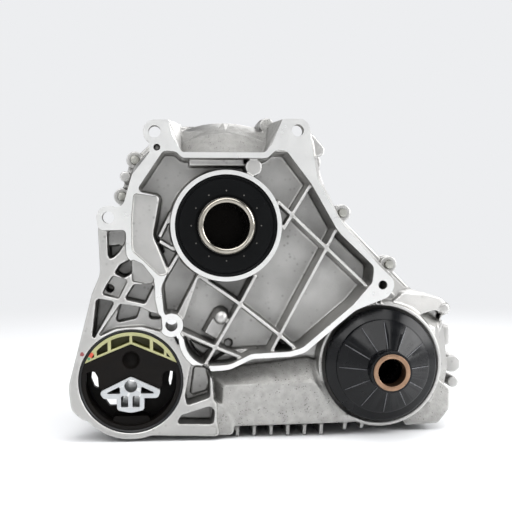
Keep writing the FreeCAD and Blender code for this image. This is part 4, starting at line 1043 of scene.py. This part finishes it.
@dataclass
class FrontHousing(Casting):
    """The front case half, with the arm's pockets, the ear webs, the horn and the valley over the ring."""

    arm_y: float = 3.0
    bell_y: float = 48.0
    split_y: float = 91.0
    ears: tuple[Point, ...] = ((-65.6, 86.1), (65.9, 87.8))
    mark_from: float = 56.8
    mark_to: float = 63.0
    mark_half: float = 0.55

    def shape(self, piece: bpy.types.Object) -> None:
        """Rework the arm, the top, the flange corner and the output side.

        Args:
            piece: The casting's plain solid.
        """
        combine(piece, self.arm_fill(), Work.ADD)
        combine(piece, self.top_room() + self.horn_room(), Work.CUT)
        combine(piece, self.top_webs() + self.recess_steps() + self.horn(), Work.ADD)
        combine(piece, self.arm_pockets() + self.reliefs(), Work.CUT)

    def arm_fill(self) -> list[Shape]:
        """Level the arm before its pockets are sunk.

        Returns:
            The forms to add.
        """
        upper = [
            (-111, -2, 0), (-90, -2, 0), (-88.8, -26, 0), (-71, -43, 0), (-64, -56, 0), (-61, -82, 0),
            (-57, -103, 0), (-76, -96.5, 0), (-88, -95, 0), (-100, -96.5, 0), (-112, -101, 0),
            (-123.5, -107.5, 0), (-117, -64, 0),
        ]
        lower = [(-46, -170, 0), (-13, -160, 0), (-9, -166, 0), (-9, -186, 0), (-48, -186, 0)]
        return [Form(upper, self.arm_y, 45.0), Form(lower, self.arm_y, 33.0)]

    def arm_pockets(self) -> list[Shape]:
        """Cells of the mount arm: outline and floor, a few with a deeper cell inside a shallow one.

        Returns:
            The forms to cut.
        """
        cells = [
            ([(-109.4, -4.2, 3), (-92.6, -3.8, 3), (-92.4, -14.4, 5), (-98.8, -24.6, 8),
              (-108.6, -33, 3)], 17),
            ([(-108.8, -18.6, 1), (-95.6, -17.6, 2), (-99.4, -25, 4), (-108, -32, 2)], 43),
            ([(-87.6, -30, 2), (-87.2, -44.4, 2), (-94.8, -48, 1), (-103.4, -43.6, 2), (-98, -35.5, 6)], 43),
            ([(-104.4, -45.6, 2), (-90.4, -49.6, 2), (-99.2, -67, 2), (-114.6, -63, 2),
              (-110.4, -54.6, 3)], 15),
            ([(-85.2, -53.6, 2), (-66, -54, 2), (-75, -72, 2), (-94.2, -67.6, 2)], 30),
            ([(-118.4, -66.4, 2), (-102.6, -69.6, 2), (-123.6, -107, 1)], 36),
            ([(-97.8, -71.6, 2), (-79.4, -74.6, 3), (-70, -79.4, 2), (-60, -82.2, 3), (-58.6, -98.4, 3),
              (-78, -93, 20), (-102, -94.6, 20), (-119.6, -103, 1)], 13),
            ([(-98, -71.8, 2), (-79.2, -75.2, 2), (-83, -86, 3), (-103.6, -90.6, 3)], 27),
            ([(-71.8, -78.8, 2), (-60.6, -82.2, 2), (-61, -87, 2), (-71.2, -86.4, 2)], 25),
            ([(-33, -128.2, 4), (-15.2, -129, 5), (-15.2, -159.6, 4), (-37, -166.8, 2),
              (-38.6, -157.6, 6)], 33),
            ([(-42, -175.8, 2), (-15.4, -167.6, 4), (-11, -172, 2), (-12, -184.6, 4), (-47, -183.8, 2)], 30),
            ([(-87.8, -29.6, 2), (-77, -34.6, 5), (-65.8, -49.2, 2), (-70, -54.6, 2), (-86.8, -51, 2)], 9),
        ]
        hole = Round((-107.7, -58.3), 3.7, 3.7, -1.0, 40.0)
        return [Form(corners, -1.0, floor) for corners, floor in cells] + [hole]

    def top_room(self) -> list[Shape]:
        """Make room for the rounded boss at the head of the valley."""
        return [Round((42.0, 97.0), 9.0, 9.0, 38.0, 52.0)]

    def top_webs(self) -> list[Shape]:
        """Sloped webs at the ears, the stepped valley round the ring, the lug and the right-hand flare.

        Returns:
            The forms to add.
        """
        valley = Form([(-56, 66.5, 0), (56, 66.5, 0), (56, 101, 0), (-56, 101, 0)], 0.5, 73.0)
        left = Form(
            [(-57, 96.9, 0), (-53, 96.9, 0), (-41, 67.5, 0), (-57, 67.5, 0)], 1.0, self.bell_y,
            [(-57, 96.9, 0), (-41.5, 96.9, 0), (-40.5, 67.5, 0), (-57, 67.5, 0)],
        )
        right = Form(
            [(58, 98.6, 0), (52, 98.6, 0), (35.5, 67.5, 0), (58, 67.5, 0)], 1.0, self.bell_y,
            [(58, 98.6, 0), (44, 98.6, 0), (34, 67.5, 0), (58, 67.5, 0)],
        )
        flare = Form(
            [
                (77, 80, 0), (79, 79, 0), (84.5, 43, 0), (107, 2, 0), (140.5, -36, 0), (139.5, -37, 0),
                (105.5, -1, 0), (81.5, 42, 0),
            ],
            1.0, self.bell_y,
            [
                (77, 84, 0), (88, 80, 0), (93.5, 47, 0), (113, 8, 0), (147, -30, 0), (139.5, -37, 0),
                (105.5, -1, 0), (81.5, 42, 0),
            ],
        )
        lug = Form(
            [(70, 93, 2), (76, 90, 3), (92.4, 71.8, 2), (91, 65.6, 2), (84, 63.8, 2), (78.5, 62, 0)], 7.0,
            self.bell_y,
        )
        return [
            Round(INPUT, 66.0, 88.0, 2.0, 28.0, valley), Round(INPUT, 84.0, 101.0, 27.0, 72.0, valley),
            left, right, flare, lug, Round((42.0, 97.0), 4.2, 7.0, 52.0, 55.0),
            Round((42.0, 97.0), 7.0, 7.0, 54.9, 80.0),
        ]

    def recess_steps(self) -> list[Shape]:
        """Raised floors among the ribs, a narrower deep cell and the flange's lower right corner.

        Returns:
            The forms to add.
        """
        floors = [
            ([(-63, -12.6, 0), (-51, 14, 0), (-38, 4, 0), (-44, -25, 0)], 19.0),
            ([(-60, -17, 0), (-45, -22, 0), (-43, -29, 0), (-53, -42, 0)], 23.0),
            ([(46, 24.6, 0), (65, 8.4, 0), (52.6, -5, 0), (42, 0, 0)], 19.0),
            ([(4, -118, 0), (30, -116, 0), (24, -120, 0), (3, -130, 0), (-16, -131, 0)], 24.0),
            ([(-15, -117, 0), (-33, -108, 0), (-33, -119, 0), (-20, -126, 0)], 45.0),
        ]
        corner = [
            (152, -66.3, 4), (133, -69.3, 16), (114.6, -83.6, 10), (82, -110.7, 0), (84, -106, 0),
            (121, -76, 0), (141, -58, 0),
        ]
        steps = [Form(corners, y, 39.0 if y < 40.0 else 59.0) for corners, y in floors]
        return steps + [Form(corner, 0.0, self.bell_y)]

    def horn_room(self) -> list[Shape]:
        """Clear the round boss that the horn takes over."""
        return [Form([(209, -72, 0), (228, -72, 0), (228, -94, 0), (209, -94, 0)], 30.0, 66.0)]

    def horn(self) -> list[Shape]:
        """Arm from the output collar to the outer boss, and the blend of the mount arm into the sump.

        Returns:
            The forms to add, the fine ribs above the collar among them.
        """
        edge = [
            (158, -74, 3), (171, -64, 8), (193, -66, 20), (211, -70.6, 8), (221, -80, 4), (216, -86, 4),
            (204, -82.6, 10), (193, -85, 20), (178, -90, 3),
        ]
        boss = (214.5, -81.4)
        foot = [(-14, -160, 0), (-2, -170, 8), (7, -186, 6), (7, -196, 4), (-16, -196.2, 0)]
        rib = [(214.6, -85.6, 0), (206.2, -111.1, 0), (203.8, -111.9, 0), (212.2, -86.4, 0)]
        forms = [
            Form(edge, 16.0, self.split_y, tilt=0.338), Round((-4.6, -85.6), 2.6, 6.2, 6.4, 9.4),
            Round(boss, 4.2, 6.4, 33.0, 36.0), Round(boss, 6.4, 6.4, 35.9, self.split_y),
            Form(rib, 38.0, 66.0), Form(foot, 8.0, 60.0),
        ]
        return forms + [self.mark(math.radians(angle)) for angle in range(90, 120, 4)]

    def mark(self, angle: float) -> Form:
        """Make one of the short fine ribs that fan out from the output collar.

        Args:
            angle: Its direction from the output's axis, in radians from +X.

        Returns:
            The rib.
        """
        out = Vector((math.cos(angle), math.sin(angle)))
        side = Vector((-out.y, out.x)) * self.mark_half
        centre = Vector(OUTPUT)
        near = centre + out * self.mark_from
        far = centre + out * self.mark_to
        ends = (near - side, far - side, far + side, near + side)
        return Form([(p.x, p.y, 0) for p in ends], 12.0, 30.0)

    def reliefs(self) -> list[Shape]:
        """Room for the bolts behind the top ears, and the shield's room in the collar."""
        bolts = [Round(ear, 11.3, 11.3, 15.0, 51.0) for ear in self.ears]
        return bolts + [Round(OUTPUT, 55.9, 55.9, -2.0, 15.0)]


# ---------------------------------------------------------------- turned, moulded and pressed pieces
@dataclass
class EasedPart:
    """A turned, moulded or pressed piece whose sharp edges are broken as on the real one."""

    node: str
    finish: Finish
    width_mm: float = 0.4
    segments: int = 2
    added: Round | None = None
    sunk: tuple[Form, ...] = ()

    def build(self, nodes: dict[str, bpy.types.Object]) -> bpy.types.Object:
        """Copy the CAD node, break its edges and dress it.

        Args:
            nodes: The CAD nodes by name.

        Returns:
            The piece, riding on its node's body.
        """
        node = nodes[self.node]
        piece = eased_copy(f"{self.node}_eased", node, self.width_mm * MM, self.segments)
        if self.added:
            web = self.added.solid()
            combine(web, list(self.sunk), Work.CUT)
            piece = joined(piece, web)
            smooth(piece, SHARP_ANGLE)
        piece.data.materials.clear()
        piece.data.materials.append(self.finish.material())
        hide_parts(self.node)
        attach(piece, body_of(node)[0])
        log.info("%s: %d faces, %s", piece.name, len(piece.data.polygons), self.finish.name)
        return piece


@dataclass
class RingPattern:
    """Copies of one small form, evenly round an axis along Y; the form is drawn round the origin."""

    name: str
    body: str
    slot: str
    finish: Finish
    axis: Point
    count: int
    start: float = 0.0

    def tree(self) -> bpy.types.GeometryNodeTree:
        """Build the node tree that turns and repeats the form.

        Returns:
            The tree.
        """
        tree = bpy.data.node_groups.new(f"{self.name}_round_axis", "GeometryNodeTree")
        kinds = {"Form": "Geometry", "Copies": "Int", "Step": "Float", "Start": "Float", "Axis": "Vector"}
        for name, kind in kinds.items():
            tree.interface.new_socket(name, in_out="INPUT", socket_type=f"NodeSocket{kind}")
        tree.interface.new_socket("Ring", in_out="OUTPUT", socket_type="NodeSocketGeometry")
        given = put(tree, "NodeGroupInput").outputs
        points = put(tree, "GeometryNodePoints", {"Count": given["Copies"], "Position": given["Axis"]})
        number = put(tree, "GeometryNodeInputIndex")
        angle = put(
            tree, "ShaderNodeMath", {0: number.outputs[0], 1: given["Step"], 2: given["Start"]},
            operation="MULTIPLY_ADD",
        )
        turn = put(tree, "ShaderNodeCombineXYZ", {"Y": angle.outputs[0]})
        spread = put(
            tree, "GeometryNodeInstanceOnPoints",
            {"Points": points.outputs[0], "Instance": given["Form"], "Rotation": turn.outputs[0]},
        )
        real = put(tree, "GeometryNodeRealizeInstances", {0: spread.outputs[0]})
        dressed = put(
            tree, "GeometryNodeSetMaterial",
            {"Geometry": real.outputs[0], "Material": self.finish.material()},
        )
        put(tree, "NodeGroupOutput", {0: dressed.outputs[0]})
        return tree

    def build(self, form: bpy.types.Mesh) -> bpy.types.Object:
        """Repeat the form and ride the result on its body.

        Args:
            form: One copy's mesh, in metres, with the axis through the origin.

        Returns:
            The ring of copies, as plain mesh.
        """
        piece = new_piece(self.name, form)
        ring = piece.modifiers.new("ring", "NODES")
        ring.node_group = self.tree()
        values = {
            "Copies": self.count,
            "Step": math.tau / self.count,
            "Start": math.radians(self.start),
            "Axis": (self.axis[0] * MM, 0.0, self.axis[1] * MM),
        }
        for item in ring.node_group.interface.items_tree:
            if item.item_type == "SOCKET" and item.in_out == "INPUT" and item.name in values:
                ring[item.identifier] = values[item.name]
        applied(piece)
        smooth(piece, angle=40.0)
        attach(piece, self.body)
        log.info("%s: %d copies, %d faces", self.name, self.count, len(piece.data.polygons))
        return piece


@dataclass
class TurnedRing:
    """A ring turned about an axis along Y from a closed profile of radius and y, in millimetres."""

    name: str
    body: str
    slot: str
    finish: Finish
    axis: Point
    profile: list[Point]
    sides: int = 128

    def build(self) -> bpy.types.Object:
        """Spin the profile and dress the ring.

        Returns:
            The ring, riding on its body.
        """
        x, z = self.axis
        turns = [math.tau * k / self.sides for k in range(self.sides)]
        rings = [
            [Vector((x + r * math.cos(a), y, z + r * math.sin(a))) for r, y in self.profile]
            for a in turns
        ]
        piece = new_piece(self.name, skinned(self.name, rings, looped=True))
        piece.data.materials.append(self.finish.material())
        smooth(piece, angle=50.0)
        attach(piece, self.body)
        log.info("%s: %d faces", self.name, len(piece.data.polygons))
        return piece


@dataclass
class SealFace:
    """A ring of small moulded nubs on the broad input seal.

    The dome gives each nub's rings, as a share of its radius and of its height.
    """

    nub_ring_mm: float = 32.4
    nub_mm: float = 0.75
    nub_height_mm: float = 0.3
    face_y_mm: float = 3.2
    nubs: int = 12
    sides: int = 10
    dome: tuple[Point, ...] = ((1.0, -0.05), (0.85, 0.5), (0.45, 0.95))

    def nub(self) -> bpy.types.Mesh:
        """Make one low domed nub on the seal's face.

        Returns:
            Its mesh.
        """
        turns = [math.tau * k / self.sides for k in range(self.sides)]
        rings = [
            [
                Vector((
                    self.nub_ring_mm + self.nub_mm * share * math.cos(a),
                    self.face_y_mm - self.nub_height_mm * rise,
                    self.nub_mm * share * math.sin(a),
                ))
                for a in turns
            ]
            for share, rise in self.dome
        ]
        return skinned("seal_nub", rings)

    def build(self) -> None:
        """Set the nubs round the input."""
        RingPattern("seal_nubs", "case", "seal_black", SEAL_NUB, INPUT, self.nubs).build(self.nub())


@dataclass
class ShieldRibs:
    """Rounded crowns on the radial ribs of the dust shield, coloured grey as a painted highlight."""

    axis: Point = OUTPUT
    inner: Point = (18.9, -19.0)
    outer: Point = (42.2, -1.6)
    width_mm: float = 1.0
    height_mm: float = 0.5
    ribs: int = 12
    steps: int = 5

    def crown(self) -> bpy.types.Mesh:
        """Make one rib's crown, a half-round bar along the cone.

        Returns:
            Its mesh.
        """
        start = Vector((self.inner[0], self.inner[1], 0.0))
        end = Vector((self.outer[0], self.outer[1], 0.0))
        along = (end - start).normalized()
        out = Vector((along.y, -along.x, 0.0))
        half_turn = [math.radians(angle) for angle in range(0, 181, 36)]
        rings = []
        for k in range(self.steps + 1):
            share = k / self.steps
            taper = 0.55 + 0.45 * math.sin(math.pi * min(max(share, 0.06), 0.94))
            middle = start.lerp(end, share)
            side = Vector((0.0, 0.0, self.width_mm / 2 * taper))
            rise = out * self.height_mm * taper
            rings.append([middle + side * math.cos(turn) + rise * math.sin(turn) for turn in half_turn])
        return skinned("rib_crown", rings)

    def build(self) -> None:
        """Set the crowns on the shield."""
        # The crowns carry the grey of the painted rib highlight.
        ring = RingPattern(
            "shield_rib_crowns", "front_output", "shield_black", RIB_PAINTED_HIGHLIGHT, self.axis, self.ribs,
        )
        ring.build(self.crown())


# ---------------------------------------------------------------- the studio
@dataclass
class Studio:
    """Camera, pale floor and soft lamps.

    The eye and the floor's level are in millimetres, the rest of the room is in metres.
    """

    eye: Place = (-47.28, -899.30, 9.93)
    turn: float = 4.730
    dip: float = 2.401
    lens: float = 68.77
    floor_z: float = -200.0
    floor_span: float = 12.0
    fade_from: float = 0.35
    fade_to: float = 1.5
    aim: Place = (0.02, 0.03, -0.05)
    pale: str = "#EDEEF0"
    dusk: str = "#6E6F72"

    def build(self) -> None:
        """Make the camera, the floor, the world and the lamps."""
        self.camera()
        self.floor()
        self.world()
        self.lamp("key", (-0.75, -1.15, 1.15), 1.1, 12.0)
        self.lamp("fill", (1.17, -0.30, 0.47), 0.8, 13.0)
        self.lamp("top", (0.1, -0.52, 1.38), 1.3, 15.0)
        self.lamp("back", (0.5, 1.4, 0.8), 1.0, 9.0)

    def camera(self) -> None:
        """Put the camera where the part is seen square to its joint face, a little from the left."""
        data = bpy.data.cameras.new("camera")
        data.lens = self.lens
        data.sensor_width = 36.0
        data.clip_end = 30.0
        camera = bpy.data.objects.new("camera", data)
        camera.location = Vector(self.eye) * MM
        camera.rotation_euler = Euler((math.radians(90.0 - self.dip), 0.0, math.radians(-self.turn)), "XYZ")
        bpy.context.scene.collection.objects.link(camera)
        bpy.context.scene.camera = camera

    def floor(self) -> None:
        """Lay a pale floor that fades into the backdrop away from the part."""
        half = self.floor_span / 2
        level = self.floor_z * MM
        mesh = bpy.data.meshes.new("floor")
        corners = [(-half, -half, level), (half, -half, level), (half, half, level), (-half, half, level)]
        mesh.from_pydata(corners, [], [(0, 1, 2, 3)])
        floor = new_piece("floor", mesh)
        material = bpy.data.materials.new("floor_paper")
        material.use_nodes = True
        tree = material.node_tree
        tree.nodes.clear()
        place = put(tree, "ShaderNodeTexCoord").outputs["Object"]
        level_only = put(tree, "ShaderNodeVectorMath", {0: place, 1: (1.0, 1.0, 0.0)}, operation="MULTIPLY")
        distance = put(tree, "ShaderNodeVectorMath", {0: level_only.outputs[0]}, operation="LENGTH")
        fade = put(
            tree, "ShaderNodeMapRange",
            {
                "Value": distance.outputs["Value"], "From Min": self.fade_from, "From Max": self.fade_to,
                "To Min": 0.0, "To Max": 1.0,
            },
            interpolation_type="SMOOTHSTEP",
        )
        seen = put(tree, "ShaderNodeLightPath").outputs["Is Camera Ray"]
        share = put(tree, "ShaderNodeMath", {0: fade.outputs[0], 1: seen}, operation="MULTIPLY")
        paper = put(tree, "ShaderNodeBsdfDiffuse", {"Color": linear(self.pale)})
        glow = put(tree, "ShaderNodeEmission", {"Color": linear(self.pale), "Strength": 1.0})
        mixed = put(
            tree, "ShaderNodeMixShader", {0: share.outputs[0], 1: paper.outputs[0], 2: glow.outputs[0]},
        )
        put(tree, "ShaderNodeOutputMaterial", {"Surface": mixed.outputs[0]})
        mesh.materials.append(material)

    def world(self) -> None:
        """Fill the room with soft light, brighter from above, behind a pale backdrop."""
        world = bpy.data.worlds.new("room")
        bpy.context.scene.world = world
        world.use_nodes = True
        tree = world.node_tree
        tree.nodes.clear()
        way = put(tree, "ShaderNodeTexCoord").outputs["Generated"]
        up = put(tree, "ShaderNodeSeparateXYZ", {0: way}).outputs["Z"]
        level = put(
            tree, "ShaderNodeMapRange",
            {"Value": up, "From Min": -0.5, "From Max": 0.9, "To Min": 0.28, "To Max": 0.75},
        )
        path = put(tree, "ShaderNodeLightPath").outputs
        mirrored = put(
            tree, "ShaderNodeMath", {0: path["Is Glossy Ray"], 1: path["Is Transmission Ray"]},
            operation="MAXIMUM",
        )
        seen = put(
            tree, "ShaderNodeMath", {0: path["Is Camera Ray"], 1: mirrored.outputs[0]}, operation="MAXIMUM",
        )
        height = put(tree, "ShaderNodeMath", {0: up}, operation="ABSOLUTE")
        shade = put(
            tree, "ShaderNodeMapRange",
            {"Value": height.outputs[0], "From Min": 0.22, "From Max": 0.7, "To Min": 0.0, "To Max": 1.0},
        )
        paper = put(
            tree, "ShaderNodeMix", {"Factor": shade.outputs[0], 6: linear(self.pale), 7: linear(self.dusk)},
            data_type="RGBA",
        )
        room = put(tree, "ShaderNodeBackground", {"Color": linear("#F5F5F5"), "Strength": level.outputs[0]})
        backdrop = put(tree, "ShaderNodeBackground", {"Color": paper.outputs[2], "Strength": 1.0})
        mixed = put(
            tree, "ShaderNodeMixShader", {0: seen.outputs[0], 1: room.outputs[0], 2: backdrop.outputs[0]},
        )
        put(tree, "ShaderNodeOutputWorld", {"Surface": mixed.outputs[0]})

    def lamp(self, name: str, place: Place, size: float, power: float) -> None:
        """Hang a square soft lamp that faces the middle of the part.

        Args:
            name: The lamp's name.
            place: Its place in metres.
            size: Side in metres.
            power: Power in watts.
        """
        data = bpy.data.lights.new(name, "AREA")
        data.size = size
        data.energy = power
        lamp = bpy.data.objects.new(name, data)
        lamp.location = place
        way = Vector(self.aim) - Vector(place)
        lamp.rotation_euler = way.to_track_quat("-Z", "Y").to_euler()
        bpy.context.scene.collection.objects.link(lamp)


# ---------------------------------------------------------------- the whole part
PLAIN_NODES: dict[str, Finish] = {
    "split_gasket": GASKET,
    "dowel_sleeves": GROUND,
    "plug_washers": COPPER,
    "input_seal": SEAL_RUBBER,
    "front_output_seal": RUBBER,
    "rear_output_seal": RUBBER,
    "input_shaft": SLEEVE,
    "needle_sleeve": GROUND,
    "drive_sprocket": DARK_STEEL,
    "drive_chain": DARK_STEEL,
    "driven_sprocket": DARK_STEEL,
    "clutch_drum": DARK_STEEL,
    "clutch_hub": DARK_STEEL,
    "friction_plates": FRICTION,
    "steel_plates": GROUND,
    "pressure_ring": GROUND,
    "front_output_shaft": OUTPUT_SLEEVE,
}
# The sleeve's lip turns over from its bore to its outer edge: radius and y.
LIP_PROFILE = [
    (20.75, -0.5), (20.9, -2.3), (21.5, -3.3), (22.4, -3.9), (23.4, -4.1), (24.5, -3.9), (25.4, -3.3),
    (26.0, -2.4), (26.25, -1.2), (26.25, -0.5),
]
# The mount's rubber has a web behind the core, with slots that let light through at its edge.
WEB = Round(BUSH, 44.6, 44.6, 30.0, 38.0)
SLOT_OUTLINES = (
    [(-125.7, -134.5, 1), (-120.7, -143.5, 3), (-119.7, -154.5, 0.6), (-123.9, -152.5, 2),
     (-127.1, -144.5, 4)],
    [(-49.7, -136.5, 0.6), (-50.5, -145.5, 4), (-52.5, -155.5, 0.6), (-53.9, -147.5, 5),
     (-51.9, -136.5, 0.6)],
    [(-114.7, -163.5, 1), (-102.9, -164.1, 1), (-102.9, -171.1, 1), (-109.7, -171.1, 2)],
    [(-96.0, -143.0, 5), (-80.6, -143.0, 5), (-79.0, -170.0, 3), (-97.6, -170.0, 3)],
)
SLOTS = tuple(Form(outline, 29, 39) for outline in SLOT_OUTLINES)
EASED_PARTS = [
    EasedPart("bush_rubber", RUBBER, 0.5, 2, WEB, SLOTS),
    EasedPart("dust_shield", GLOSS_BLACK, 0.35),
    EasedPart("hub_ring", BRONZE, 0.6, 3),
    EasedPart("bush_can", PAINTED, 0.4),
    EasedPart("bush_insert", INSERT, 0.3),
    EasedPart("bush_core", CORE, 0.7),
    EasedPart("rear_output_flange", TURNED, 0.6),
    EasedPart("flange_nut", PLATED, 0.7),
    EasedPart("split_bolts", PLATED, 0.4),
    EasedPart("drain_plug", PLATED, 0.5),
    EasedPart("fill_plug", PLATED, 0.5),
    EasedPart("actuator_motor", MOTOR_PLASTIC, 0.8),
    EasedPart("motor_screws", PLATED, 0.4),
    EasedPart("motor_connector", MOTOR_PLASTIC, 0.6),
]


def finish_nodes(nodes: dict[str, bpy.types.Object]) -> None:
    """Give every CAD node that stays a finish of its own.

    Args:
        nodes: The CAD nodes by name.
    """
    for name, node in nodes.items():
        if name in PLAIN_NODES:
            finish = PLAIN_NODES[name]
        elif "bearing" in name:
            finish = GROUND
        else:
            finish = CAST
        node.data.materials.clear()
        node.data.materials.append(finish.material())
        log.info("%s: %s", name, finish.name)


def main() -> None:
    """Build the part on its frame, then the studio round it."""
    logging.basicConfig(level=logging.INFO, format="%(message)s")
    nodes = frame["nodes"]
    finish_nodes(nodes)
    FrontHousing(
        "front_housing",
        "case",
        planes=[CutPlane(0.0), CutPlane(2.0, (0.0, 0.0), 54.0)],
        cuts=[
            CutZone(-1.0, 0.3),
            CutZone(1.0, 2.3, (0.0, 0.0), 54.0),
            CutZone(0.0, 30.0, (0.0, 0.0), 47.5, bore=True),
        ],
        sands=[
            SandZone((-16.0, -1.0, -200.0), (112.0, 88.0, -124.0)),
            SandZone((168.0, 20.0, -200.0), (226.0, 88.0, -144.0)),
            SandZone((-42.0, 0.6, 68.0), (52.0, 60.0, 120.0)),
        ],
    ).build(nodes)
    Casting("rear_housing", "case", cuts=[CutZone(160.0, 170.0)]).build(nodes)
    for part in EASED_PARTS:
        part.build(nodes)
    TurnedRing("sleeve_lip", "main_shaft", "steel_bright", SLEEVE_LIP, INPUT, LIP_PROFILE).build()
    SealFace().build()
    ShieldRibs().build()
    Studio().build()
    bpy.context.scene.view_settings.view_transform = "Standard"


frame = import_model()

if __name__ == "__main__":
    main()
